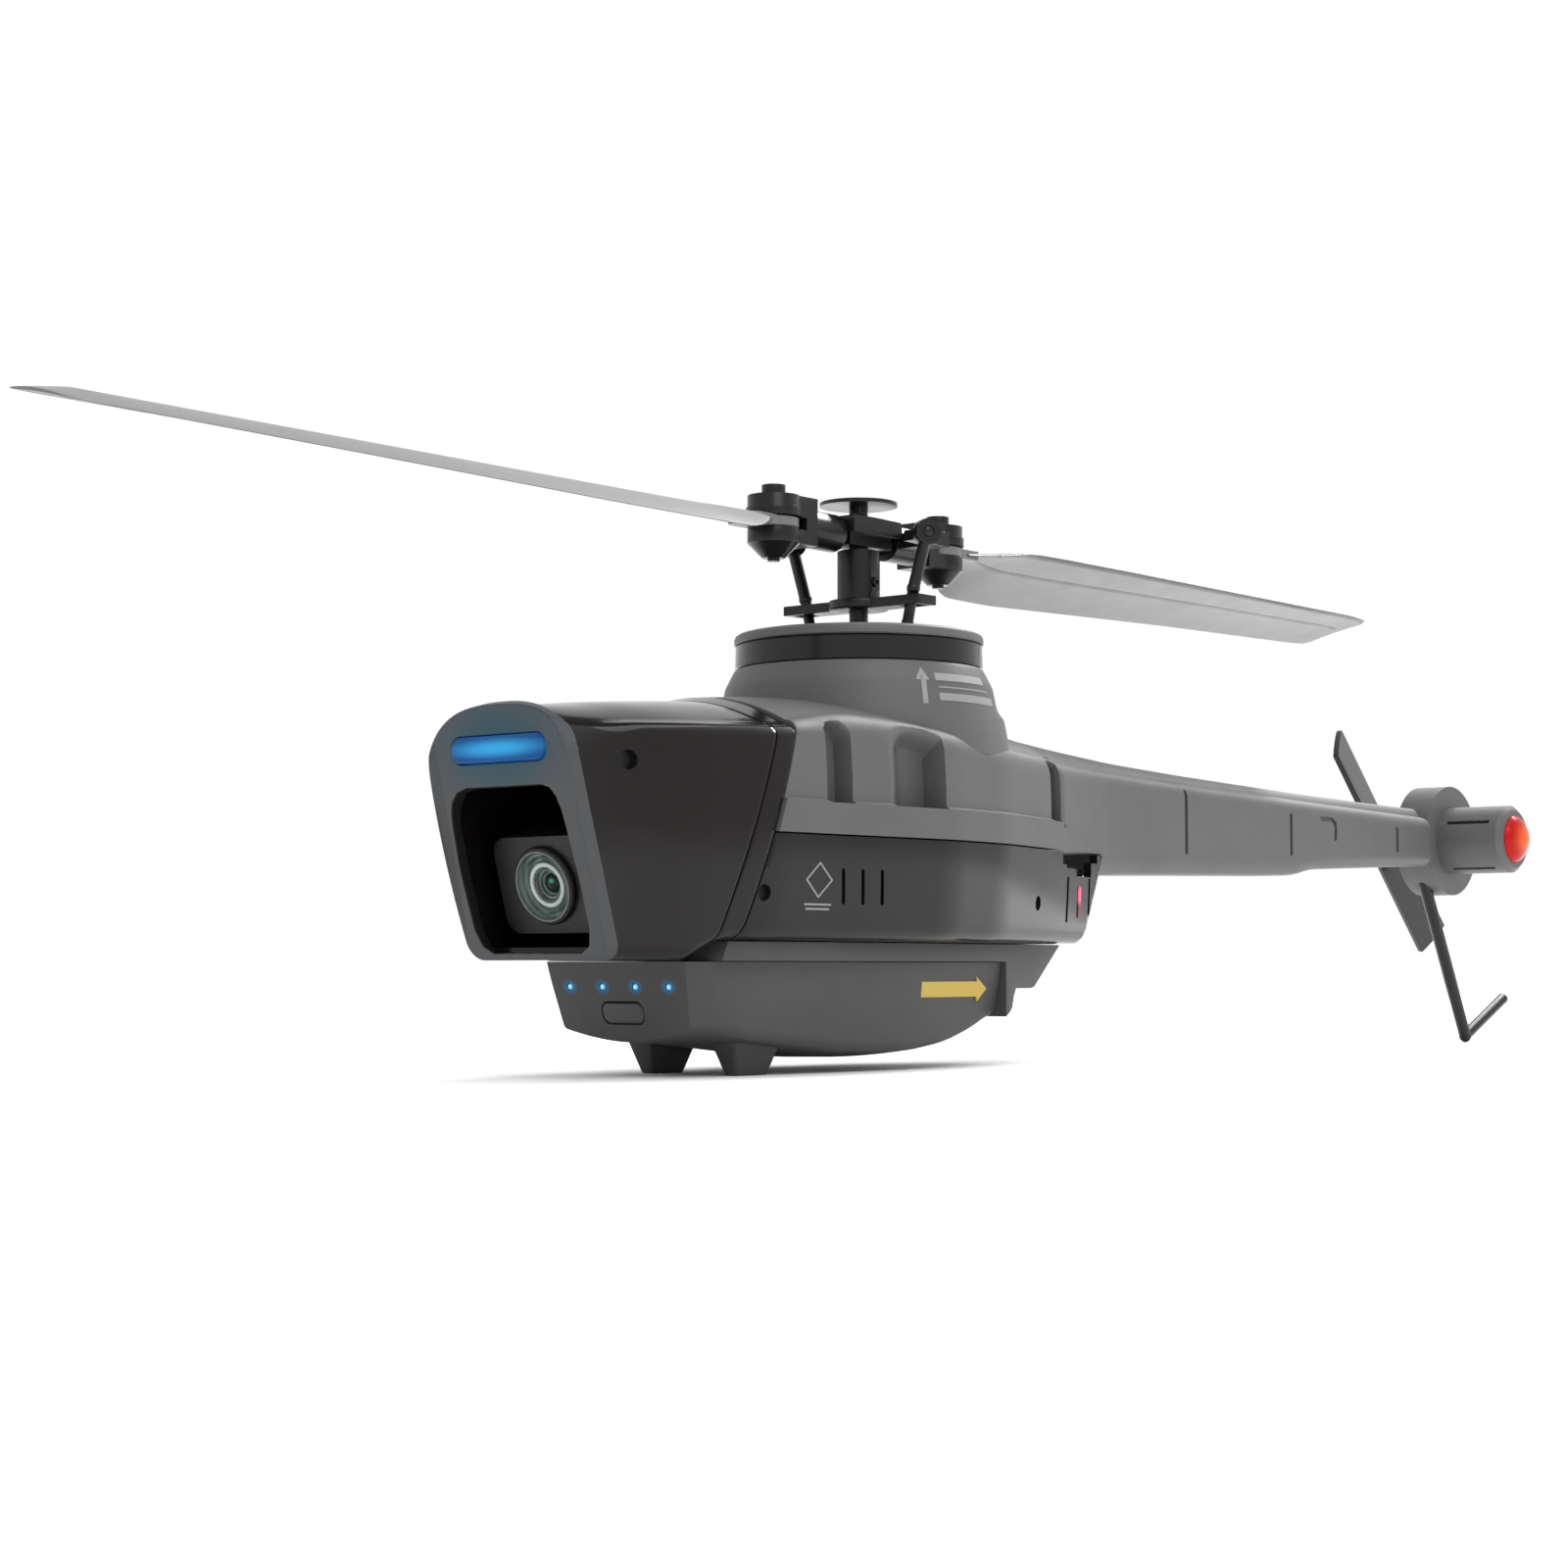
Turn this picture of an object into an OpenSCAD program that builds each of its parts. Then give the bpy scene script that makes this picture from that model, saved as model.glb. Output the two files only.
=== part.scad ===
// Micro camera helicopter with a two-blade flybarless rotor, a nose camera bay and a slide-in battery.
// +X points to the nose, +Y to port, +Z up. The origin is on the floor under the middle of the whole part.

/* [Overall] */
// Main rotor radius, shaft axis to blade tip
rotor_r = 132.5; // [128:0.5:136]
// Rearmost point of the tail skid, behind the main shaft
skid_reach = 188.5; // [186:0.5:191]
// Height of the rotor's feathering axis above the floor
feather_z = 70.4; // [70.2:0.1:70.8]

/* [Fuselage] */
// Wall of the plastic shells
wall = 1.6; // [1.4:0.1:1.8]
// Widest height of the body, top of the rail strip
rail_z = 33.1; // [32.5:0.1:33.5]
// Top of the dark side panels
panel_top = 29.2; // [28.8:0.1:29.6]
// Bottom of the dark side panels
panel_bottom = 16.4; // [16.2:0.1:16.8]
// Underside of the nose hood
hood_bottom = 14; // [13.9:0.1:14.2]
// Reveal left between neighbouring shells
reveal = 0.2; // [0.1:0.05:0.3]
// Depth of the grooves between the side pads
groove_depth = 0.9; // [0.5:0.1:1.0]

/* [Nose] */
// Lean of the nose face, forward travel per unit height
face_lean = 0.26; // [0.24:0.01:0.28]
// Nose face position at 30 mm height
face_at = 64.6; // [64.2:0.1:65]
// Thickness of the nose bezel
bezel_t = 2.6; // [2.2:0.1:3]
// Half-width of the camera opening
opening_w = 9; // [8.8:0.1:9.4]
// Top of the camera opening
opening_top = 33.9; // [33.5:0.1:34.2]
// Half-length of the front light bar
light_w = 7.6; // [6.5:0.1:7.8]
// Height of the front light bar's centre
light_z = 38.4; // [38.2:0.1:38.6]

/* [Camera] */
// Camera block width
cam_w = 15.6; // [14:0.1:15.8]
// Camera block height
cam_h = 11.7; // [10.5:0.1:12]
// Camera block depth
cam_d = 13; // [11:0.1:14]
// Downward angle of the camera at rest
cam_down = 16; // [10:1:18]
// Lens barrel outer radius
lens_r = 4.65; // [4:0.05:4.8]

/* [Turret] */
// Radius at the top of the turret cone
cone_top_r = 16.6; // [16.4:0.1:17]
// Radius at the foot of the turret cone
cone_foot_r = 19.2; // [18.8:0.1:19.4]
// Height where the cone meets the black band
band_z = 52.5; // [52:0.1:52.8]
// Height of the turret top
turret_top = 57.3; // [57:0.1:57.6]
// Radius of the opening in the turret top
turret_hole_r = 10.5; // [10:0.1:11]

/* [Rotor head] */
// Main shaft radius
shaft_r = 1.25; // [1:0.05:1.4]
// Blade bolt distance from the shaft
bolt_at = 17.6; // [17.4:0.1:18]
// Blade bolt shank radius
bolt_r = 0.8; // [0.7:0.05:0.9]
// Height of the follower bar
follower_z = 61.3; // [61:0.1:61.6]
// Height of the swashplate centre
swash_z = 51.6; // [51.4:0.1:51.8]
// Ball circle radius of the rotor links at the swashplate
swash_ball_at = 6.5; // [6.3:0.1:6.7]
// Horn length, feathering axis to link ball
horn_at = 10.5; // [10.3:0.1:10.6]

/* [Blades] */
// Blade chord where the blade widens out
root_chord = 17.5; // [15:0.5:18]
// Blade chord near the tip
tip_chord = 13.5; // [12:0.5:15]
// Blade pitch at the tip, degrees
tip_pitch = 11.5; // [9:0.5:12]
// Blade pitch at the root, degrees
root_pitch = 15; // [12:0.5:16]

/* [Drive] */
// Gear module
gear_module = 0.6; // [0.6:0.1:0.6]
// Teeth of the main gear
main_teeth = 40; // [40:1:40]
// Teeth of the motor pinion
pinion_teeth = 10; // [10:1:10]

/* [Battery] */
// Front of the battery at its top edge
battery_front = 47.2; // [46.5:0.1:47.4]
// Rear seam of the battery
battery_rear = -15; // [-15.5:0.1:-14.8]
// Half-width of the battery at its top edge
battery_w = 13.5; // [13:0.1:14]
// Top face of the battery
battery_top = 13.5; // [13.3:0.1:13.6]
// Distance of the feet from the middle plane
foot_y = 6.9; // [6.5:0.1:7.2]

/* [Tail] */
// Tail rotor axis behind the main shaft
tail_at = 163; // [162.5:0.1:163.5]
// Tail rotor axis height
tail_z = 35.3; // [35:0.1:35.6]
// Tail drum radius
drum_r = 9.5; // [9:0.1:9.8]
// Tail rotor radius
tail_rotor_r = 24; // [20:0.5:25]

/* [Hidden] */
$fn = 48;
mast_x = (skid_reach - rotor_r) / 2;
main_r = gear_module * main_teeth / 2;
pinion_r = gear_module * pinion_teeth / 2;
motor_at = -(main_r + pinion_r);
grip_run = 0.05;
// Half-width of the body along its length
plan_line = [[-160, 3.6], [-115, 4.4], [-80, 5], [-58, 5.7], [-50, 6.9], [-41, 9.2], [-24, 14.2],
  [-7, 19], [6, 20.6], [20, 19.7], [28, 19.1], [39, 18.5], [50, 16], [58, 13], [62, 11.9], [70, 11.2]];
// Height of the top line along the body
deck_line = [[-160, 40.6], [-148, 40.6], [-115, 41.1], [-48, 43.3], [-28, 45.4], [-19, 46.2],
  [0, 47.4], [19, 47.8], [26.7, 47.4], [34.5, 46.8], [48.6, 45.6], [67.5, 43.1]];
// Height of the underside along the body
keel_line = [[-160, 30.9], [-116, 28.9], [-104, 27.9], [-58, 26.8], [-50, 26.4]];
// Lean of the body's cross-sections along its length
lean_line = [[15, 0], [41.9, -0.327], [face_at, face_lean]];

function half_width(x) = lookup(x, plan_line);
function side_fall(z) = z > rail_z ? 1 - 0.03 * pow((z - rail_z) / 10, 2)
  : 1 - 0.07 * pow((rail_z - z) / 17, 2);
function seam_x(z) = 41.9 - 0.327 * (z - 30);
function face_x(z) = face_at + face_lean * (z - 30);

// Points round one corner of a section, as [share of the half-width, height]
function corner(w, zc, r, a0, a1, k) = [for (i = [0:k])
  let (a = a0 + (a1 - a0) * i / k, s = cos((a0 + a1) / 2) > 0 ? 1 : -1)
  [(s * (w - r) + r * cos(a)) / w, zc + r * sin(a)]];

// One closed cross-section, walked clockwise as seen from the nose
function ring(x, z0, z1, inset, r0, r1, lean, k) = let (
  w = half_width(x) - inset,
  b = min(max(r0 - inset, 0.6), w - 0.3),
  t = min(max(r1 - inset, 0.6), w - 0.3),
  lo = z0 + inset,
  hi = z1 - inset,
  outline = concat([[0, hi + 0.7]], corner(w, hi - t, t, 90, 0, k), [[1, min(rail_z, hi - t - 0.5)]],
    corner(w, lo + b, b, 0, -90, k), corner(w, lo + b, b, -90, -180, k),
    [[-1, min(rail_z, hi - t - 0.5)]], corner(w, hi - t, t, 180, 90, k)))
  [for (p = outline) let (px = x + lean * (p[1] - 30))
    [px, p[0] * (half_width(px) - inset) * side_fall(p[1]), p[1]]];

// Skin through a row of rings from nose to tail
module loft(rings) {
  n = len(rings[0]);
  m = len(rings);
  polyhedron(
    points = [for (r = rings) each r],
    faces = concat(
      [for (i = [1:n - 2]) [0, i, i + 1]],
      [for (i = [1:n - 2]) [(m - 1) * n, (m - 1) * n + i + 1, (m - 1) * n + i]],
      [for (j = [0:m - 2]) for (i = [0:n - 1]) each [
        [j * n + i, (j + 1) * n + i, (j + 1) * n + (i + 1) % n],
        [j * n + i, (j + 1) * n + (i + 1) % n, j * n + (i + 1) % n]]]),
    convexity = 6);
}

function body_floor(x) = lookup(x, [[40, panel_bottom], [47, hood_bottom]]);
function body_ring(x, inset) = ring(x, body_floor(x), lookup(x, deck_line), inset, 2.4, 5.5,
  lookup(x, lean_line), 3);
module body(inset, stations) loft([for (x = stations) body_ring(x, inset)]);
nose_stations = [face_at, 60, 55, 50, 46, 42, 38, 34];
casing_stations = [50, 46, 42, 38, 32, 26, 20, 13, 6, -2, -10, -18, -26, -34, -42, -50];

// Prism with its outline in the XZ plane, from y0 to y1
module slab(outline, y0, y1) translate([0, y1, 0]) rotate([90, 0, 0])
  linear_extrude(height = y1 - y0) polygon(outline);

module box(x0, x1, y0, y1, z0, z1) translate([x0, y0, z0]) cube([x1 - x0, y1 - y0, z1 - z0]);
module post(x, y, z0, z1, r) translate([x, y, z0]) cylinder(h = z1 - z0, r = r);
module lateral(x, z, y0, y1, r) translate([x, y0, z]) rotate([-90, 0, 0])
  cylinder(h = y1 - y0, r = r);
module axial(y, z, x0, x1, r) translate([x0, y, z]) rotate([0, 90, 0]) cylinder(h = x1 - x0, r = r);

// Round rod between two points
module rod(p, q, r) {
  d = q - p;
  translate(p) rotate([0, acos(d[2] / norm(d)), atan2(d[1], d[0])]) cylinder(h = norm(d), r = r);
}
module in_place() translate([mast_x, 0, 0]) children();

// ---- fuselage shells ----
module upper_casing() color([0.36, 0.36, 0.36]) in_place() difference() {
  union() {
    intersection() {
      body(0, casing_stations);
      slab([[-27.5, panel_top + reveal], [seam_x(panel_top) - 3.4, panel_top + reveal],
        [seam_x(52) - 3.4, 52], [-27.5, 52]], -25, 25);
    }
    translate([0, 0, 42]) cylinder(h = band_z - 42, r1 = cone_foot_r, r2 = cone_top_r);
  }
  body(wall + 0.4, casing_stations);
  translate([0, 0, 35]) cylinder(h = 11, r = 17.4);
  translate([0, 0, 45.9]) cylinder(h = band_z - 45.8, r1 = 17.4, r2 = cone_top_r - 1.5);
  for (s = [-1, 1]) for (g = [[25.6, 30], [8, 19.4], [-28, -24.7]])
    slab([[g[0], rail_z], [g[1], rail_z], [g[1], 41.5], [g[0], 41.5]],
      s > 0 ? half_width((g[0] + g[1]) / 2) - groove_depth : -25,
      s > 0 ? 25 : -half_width((g[0] + g[1]) / 2) + groove_depth);
}

module side_panel(s) in_place() difference() {
  intersection() {
    body(0, casing_stations);
    slab([[seam_x(10) - 3.4, 10], [seam_x(panel_top) - 3.4, panel_top], [-46, panel_top],
      [-40, 18.5], [-37, panel_bottom - 1], [-37, 10]], s > 0 ? 0.05 : -25, s > 0 ? 25 : -0.05);
  }
  intersection() {
    body(wall, casing_stations);
    slab([[60, 5], [60, 45], [-44.3, 45], [-44.3, panel_top], [-38.2, 18.5], [-37, 5]], -30, 30);
  }
  for (h = [[40.2, 22], [-20, 21.8]]) lateral(h[0], h[1], s > 0 ? 10 : -25, s > 0 ? 25 : -10, 1);
  box(-38, -37, s > 0 ? 7.6 : -12, s > 0 ? 12 : -7.6, 20, 24.5);
}
module side_panel_left() color([0.19, 0.18, 0.17]) side_panel(1);
module side_panel_right() color([0.19, 0.18, 0.17]) side_panel(-1);

// Grey rear fairing under the boom root, behind the side panels
module tail_boom() color([0.36, 0.36, 0.36]) in_place() difference() {
  loft([for (x = [-27.7, -34, -41, -46, -50, -58, -80, -104, -116, -135, -154.5])
    ring(x, lookup(x, keel_line), lookup(x, deck_line), 0, 2, x > -50 ? 5.5 : 3.2, 0, 3)]);
  loft([for (x = [-27, -34, -41, -46, -50, -58, -80, -104, -116, -135, -150])
    ring(x, lookup(x, keel_line), lookup(x, deck_line), wall, 2, x > -50 ? 5.5 : 3.2, 0, 3)]);
  slab([[-20, 20], [-20, panel_top + reveal], [-46.3, panel_top + reveal], [-44, 20]], -20, 20);
  lateral(-tail_at, tail_z, -12, 12, drum_r + 0.05);
}

tray_top = panel_bottom - 0.1;
module belly_tray() color([0.33, 0.33, 0.33]) in_place() difference() {
  intersection() {
    slab([[seam_x(13.6) - 3.4, battery_top + 0.15], [seam_x(16.3) - 3.4, tray_top], [-33, tray_top],
      [-24.5, 10.4], [-18, 10.4],
      [-17, 7.6], [battery_rear - 0.25, 6.5], [battery_rear - 0.25, battery_top + 0.15]], -20, 20);
    linear_extrude(height = 30) polygon([[-34, -8.8], [-24, -10.6], [battery_rear, -12.3], [5, -14],
      [40, -14.3], [48, -13.4], [48, 13.4], [40, 14.3], [5, 14], [battery_rear, 12.3], [-24, 10.6],
      [-34, 8.8]]);
  }
  box(battery_rear - 0.2, 50, -4.8, 4.8, 14.35, 15.6);
  box(battery_rear - 0.2, 50, -3.3, 3.3, 13, 14.4);
  box(rail_front + 8, 50, -4.8, 4.8, 13, 14.4);
}

module nose_hood() color([0.19, 0.18, 0.17]) in_place() difference() {
  intersection() {
    body(0, nose_stations);
    slab([[seam_x(10) + 0.1, 10], [face_x(10) - bezel_t - reveal, 10],
      [face_x(52) - bezel_t - reveal, 52], [seam_x(52) + 0.1, 52]], -25, 25);
  }
  body(wall, nose_stations);
  for (s = [-1, 1]) lateral(58.5, 37, s > 0 ? 8 : -20, s > 0 ? 20 : -8, 1.15);
}

module hood_collar() color([0.2, 0.19, 0.18]) in_place() difference() {
  intersection() {
    body(0, casing_stations);
    slab([[seam_x(10) - 3.2, 10], [seam_x(10) - 0.1, 10], [seam_x(52) - 0.1, 52],
      [seam_x(52) - 3.2, 52]], -25, 25);
  }
  body(wall, casing_stations);
}

module nose_bezel() color([0.33, 0.34, 0.35]) in_place() difference() {
  intersection() {
    body(0, nose_stations);
    slab([[face_x(10) - bezel_t, 10], [80, 10], [80, 52], [face_x(52) - bezel_t, 52]], -25, 25);
  }
  difference() {
    box(50, 80, -opening_w, opening_w, hood_bottom + 0.9, opening_top);
    for (s = [-1, 1]) axial(s * opening_w, opening_top, 50, 80, 1.5);
  }
  hull() for (s = [-1, 1]) axial(s * (light_w - 1.6), light_z, 50, 80, 1.6);
}

module front_light_bar() color([0.2, 0.6, 0.95]) in_place() intersection() {
  hull() for (s = [-1, 1]) axial(s * (light_w - 1.6), light_z, 50, 80, 1.6);
  slab([[face_x(10) - 3.4, 10], [face_x(10) - 0.2, 10], [face_x(52) - 0.2, 52],
    [face_x(52) - 3.4, 52]], -25, 25);
}

module turret_window() color([0.08, 0.08, 0.08]) in_place() difference() {
  post(0, 0, band_z, 55.8, cone_top_r - 0.1);
  post(0, 0, 50, 60, cone_top_r - 1.6);
}

module turret_ring() color([0.34, 0.34, 0.34]) in_place() difference() {
  rotate_extrude() polygon([[0, 55.8], [cone_top_r, 55.8], [cone_top_r, turret_top - 0.8],
    [cone_top_r - 0.3, turret_top - 0.25], [cone_top_r - 0.8, turret_top], [0, turret_top]]);
  post(0, 0, 50, 60, turret_hole_r);
}

module side_light_pipes() color([0.75, 0.1, 0.12]) in_place() for (s = [-1, 1])
  box(-38, -37, s > 0 ? 7.8 : -9.7, s > 0 ? 9.7 : -7.8, 20, 24.5);

module casing_screws() color([0.12, 0.12, 0.12]) in_place() for (s = [-1, 1]) {
  lateral(40.2, 22, s > 0 ? 14.5 : -17.1, s > 0 ? 17.1 : -14.5, 1);
  lateral(-20, 21.8, s > 0 ? 11.8 : -14.2, s > 0 ? 14.2 : -11.8, 1);
  lateral(58.5, 37, s > 0 ? 9.5 : -12.1, s > 0 ? 12.1 : -9.5, 1.15);
}

// ---- tail ----
module tail_housing() color([0.33, 0.33, 0.33]) in_place() difference() {
  union() {
    lateral(-tail_at, tail_z, -3, 2.9, drum_r);
    lateral(-tail_at, tail_z, 2.9, 14, 5.8);
    translate([-tail_at, 14, tail_z]) rotate([-90, 0, 0]) cylinder(h = 0.8, r1 = 5.8, r2 = 5);
    lateral(-tail_at, tail_z, -4.6, -3, 2.4);
  }
  lateral(-tail_at, tail_z, -0.9, 13.4, 3.45);
  lateral(-tail_at, tail_z, 13.3, 20, 4.05);
  lateral(-tail_at, tail_z, -6, 0, 0.8);
  for (a = [30, 120, 210, 300]) translate([-tail_at, 4.5, tail_z]) rotate([0, -a, 0])
    translate([4.9, 0, -0.35]) cube([2, 8, 0.7]);
  rod(skid_root, skid_bend, 1.05);
}

module tail_lamp_lens() color([0.85, 0.08, 0.05]) in_place() intersection() {
  translate([-tail_at, 12, tail_z]) sphere(r = 5);
  lateral(-tail_at, tail_z, 13.45, 18, 4);
}

module tail_motor() color([0.5, 0.5, 0.52]) in_place() difference() {
  lateral(-tail_at, tail_z, -0.8, 12.9, 3.4);
  lateral(-tail_at, tail_z, -2, 7.2, 0.56);
}

module tail_rotor_shaft() color([0.6, 0.6, 0.62]) in_place()
  lateral(-tail_at, tail_z, -11.6, 7, 0.5);

module tail_rotor() color([0.08, 0.08, 0.08]) in_place() difference() {
  union() {
    lateral(-tail_at, tail_z, -11.2, -8.4, 2.4);
    intersection() {
      for (a = [0, 180]) translate([-tail_at, -10, tail_z]) rotate([0, -45 + a, 0])
        translate([1.4, 0, 0]) rotate([16, 0, 0]) translate([0, -0.5, -3.6]) cube([24, 1, 7.2]);
      lateral(-tail_at, tail_z, -13.5, -6.5, tail_rotor_r);
    }
  }
  lateral(-tail_at, tail_z, -14, 0, 0.5);
}

skid_root = [-156, 0, 31.9];
skid_bend = [-172.7, 0, 1.12];
skid_end = [-skid_reach + 0.85, 0, 7.6];
module tail_skid() color([0.12, 0.12, 0.12]) in_place() union() {
  rod(skid_root, skid_bend, 1.05);
  translate(skid_bend) sphere(r = 1.12);
  rod(skid_bend, skid_end, 1);
}

// ---- internal frame and drive ----
module main_frame() color([0.2, 0.2, 0.21]) in_place() difference() {
  union() {
    box(-22, 34.5, -12, 12, panel_bottom + wall, 19.2);
    for (s = [-1, 1]) {
      box(-4, 4, s * 15.2 - 1, s * 15.2 + 1, panel_bottom + wall, 45.4);
      box(-4, 4, s > 0 ? 11.9 : -14.5, s > 0 ? 14.5 : -11.9, panel_bottom + wall, 19.2);
    }
    box(-8, 16, -5, 5, 43.8, 45.4);
    box(-4, 4, -16.2, 16.2, 43.8, 45.4);
    post(0, 0, 19.1, 23.6, 4.2);
    post(0, 0, 40.8, 43.9, 4.2);
    box(32.5, 34.5, -14, 14, 19, 42);
  }
  post(0, 0, 15, 44.8, 2.9);
  post(0, 0, 44.7, 50, 1.7);
  for (at = [[9.2, 0], [0, 9.2]]) post(at[0], at[1], 43, 50, 0.9);
}

module shaft_bearings() color([0.6, 0.6, 0.62]) in_place() for (z = [20.4, 42.2]) difference() {
  post(0, 0, z, z + 2.6, 2.9);
  post(0, 0, z - 1, z + 5, shaft_r + grip_run);
}

module main_motor() color([0.55, 0.55, 0.57]) in_place() difference() {
  post(motor_at, 0, 19.2, 27.6, 4.6);
  post(motor_at, 0, 25, 30, 0.55);
}

// Spur gear outline with straight flanks
module spur(teeth, r, top, root, thick, tip) {
  pitch = 360 / teeth;
  flank = 180 * thick / (3.14159 * r) / 2;
  tip_half = 180 * tip / (3.14159 * (r + top)) / 2;
  polygon([for (i = [0:teeth - 1]) each [
    (r - root) * [cos(i * pitch - flank * 1.15), sin(i * pitch - flank * 1.15)],
    (r + top) * [cos(i * pitch - tip_half), sin(i * pitch - tip_half)],
    (r + top) * [cos(i * pitch + tip_half), sin(i * pitch + tip_half)],
    (r - root) * [cos(i * pitch + flank * 1.15), sin(i * pitch + flank * 1.15)]]]);
}

module motor_pinion() color([0.75, 0.62, 0.3]) in_place() translate([motor_at, 0, 0]) union() {
  translate([0, 0, 28.1]) rotate([0, 0, 18]) linear_extrude(height = 2.6)
    spur(pinion_teeth, pinion_r, 0.42, 0.7, 0.72, 0.34);
  post(0, 0, 25.4, 31, 0.5);
}

module main_gear() color([0.82, 0.8, 0.74]) in_place() difference() {
  union() {
    translate([0, 0, 28.3]) linear_extrude(height = 2.2)
      spur(main_teeth, main_r, 0.42, 0.7, 0.72, 0.34);
    post(0, 0, 26.8, 33.2, 2.6);
  }
  for (a = [0:60:300]) rotate([0, 0, a]) translate([7, 0, 27]) cylinder(h = 5, r = 2.1);
  post(0, 0, 20, 40, shaft_r);
}

// Upright linear servo with its slider slot facing the shaft side
module servo_case(x0, y0) difference() {
  box(x0, x0 + 6.4, y0, y0 + 7, 32.4, 43.8);
  box(x0 + 1.4, x0 + 5, y0 + 1.4, y0 + 5.6, 33.2, 45);
}
module servo_pitch() color([0.1, 0.1, 0.12]) in_place() servo_case(6, -3.5);
module servo_roll() color([0.1, 0.1, 0.12]) in_place() servo_case(-3.2, 5.8);

// Slider block with its push rod; the rod stops short of the swashplate ball it drives
module servo_slider(x, y) {
  box(x - 1.4, x + 1.4, y - 1.6, y + 1.6, 36, 38.4);
  post(x, y, 38.3, swash_z - 1.7, 0.5);
}
module servo_slider_pitch() color([0.75, 0.75, 0.72]) in_place() servo_slider(9.2, 0);
module servo_slider_roll() color([0.75, 0.75, 0.72]) in_place() servo_slider(0, 9.2);

module circuit_board() color([0.1, 0.3, 0.16]) in_place() {
  box(13, 31, -10, 10, 20.6, 21.8);
  box(16, 22, -4, 4, 21.7, 23);
  box(24, 28, -7, -2, 21.7, 22.8);
  box(24, 28.5, 2, 7, 21.7, 23.4);
  for (x = [14.5, 29.5]) for (s = [-1, 1]) post(x, s * 8, 19.2, 20.7, 0.9);
}

// ---- swashplate ----
module swash_collar() color([0.25, 0.25, 0.26]) in_place() difference() {
  union() {
    post(0, 0, 45.4, swash_z + 0.9, 2.3);
    axial(0, swash_z, -3.5, 3.5, 0.45);
  }
  post(0, 0, 40, 60, shaft_r + 0.2);
}

module swash_gimbal() color([0.7, 0.7, 0.72]) in_place() difference() {
  union() {
    post(0, 0, swash_z - 0.75, swash_z + 0.75, 3.9);
    lateral(0, swash_z, -5.1, 5.1, 0.45);
  }
  post(0, 0, 40, 60, 2.85);
  axial(0, swash_z, -3.6, 3.6, 0.5);
}

module swash_lower() color([0.12, 0.12, 0.12]) in_place() difference() {
  union() {
    post(0, 0, swash_z - 0.8, swash_z + 0.8, 6.2);
    axial(0, swash_z, 6, 8.4, 0.7);
    lateral(0, swash_z, 6, 8.4, 0.7);
    translate([9.2, 0, swash_z]) sphere(r = 1.1);
    translate([0, 9.2, swash_z]) sphere(r = 1.1);
  }
  post(0, 0, 40, 60, 4.5);
  lateral(0, swash_z, -5.2, 5.2, 0.5);
}

module swash_upper() color([0.7, 0.7, 0.72]) in_place() difference() {
  union() {
    post(0, 0, swash_z + 0.9, swash_z + 2.1, 6.2);
    for (s = [-1, 1]) translate([0, s * swash_ball_at, swash_z + 2.1]) sphere(r = 0.8);
  }
  post(0, 0, 40, 60, 4.5);
}

// ---- rotor head ----
module main_shaft() color([0.6, 0.6, 0.62]) in_place() difference() {
  post(0, 0, 20.4, 74.6, shaft_r);
  axial(0, feather_z, -3, 3, 0.9);
}

module rotor_hub() color([0.07, 0.07, 0.07]) in_place() difference() {
  union() {
    post(0, 0, 62, 68.6, 2.85);
    slab([[-5.2, 70.5], [5.2, 70.5], [5.2, 72.4], [4.8, 72.8], [-4.8, 72.8], [-5.2, 72.4]], -3.4, 3.4);
    box(-4.4, 4.4, -2.2, 2.2, 69, 70.6);
  }
  post(0, 0, 55, 80, shaft_r);
  axial(0, feather_z, -6, 6, 0.9);
  lateral(0, 64.3, -4, 4, 0.6);
}

module hub_screw() color([0.05, 0.05, 0.05]) in_place() difference() {
  lateral(0, 64.3, 1.3, 3.1, 0.58);
  lateral(0, 64.3, 2.6, 4, 0.3);
}

module follower_bar() color([0.07, 0.07, 0.07]) in_place() difference() {
  union() {
    box(-1.9, 1.9, -11.6, 11.6, follower_z - 0.65, follower_z + 0.65);
    post(0, 0, follower_z - 0.65, follower_z + 0.65, 4);
  }
  post(0, 0, 55, 65, shaft_r);
  for (s = [-1, 1]) box(-1.15, 1.15, s * 9.1 - 1.35, s * 9.1 + 1.35, 55, 65);
}

module feathering_spindle() color([0.6, 0.6, 0.62]) in_place() axial(0, feather_z, -11.6, 11.6, 0.9);

module head_cap() color([0.07, 0.07, 0.07]) in_place() post(0, 0, 74.6, 75.1, 5.2);

// Blade grip with its clevis and the horn that carries the link ball
module grip() difference() {
  union() {
    axial(0, feather_z, 5.5, 14.2, 2.5);
    box(12, 14.2, -2.8, 2.8, 67.7, 73.9);
    post(bolt_at, 0, 71.15, 72.3, 3.6);
    post(bolt_at, 0, 72.2, 73.9, 3.4);
    post(bolt_at, 0, 67.7, 69.55, 3.4);
    translate([bolt_at, 0, 65.8]) cylinder(h = 1.95, r1 = 1.5, r2 = 3.4);
    box(13, bolt_at, -2.8, 2.8, 71.15, 73.9);
    box(13, bolt_at, -2.8, 2.8, 67.7, 69.55);
    box(5.6, 9, -7.4, -1.5, feather_z - 1, feather_z + 1);
    slab([[9, feather_z - 1], [9, feather_z + 1], [1.9, feather_z + 0.7], [1.9, feather_z - 0.7]],
      -8.4, -6.2);
    rod([2.8, -7.6, feather_z], [1.2, -horn_at, feather_z], 0.6);
    translate([1.2, -horn_at, feather_z]) sphere(r = 1);
  }
  axial(0, feather_z, 5, 11.8, 0.9 + grip_run);
  post(bolt_at, 0, 60, 80, bolt_r);
}
module grip_front() color([0.08, 0.08, 0.08]) in_place() grip();
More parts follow.
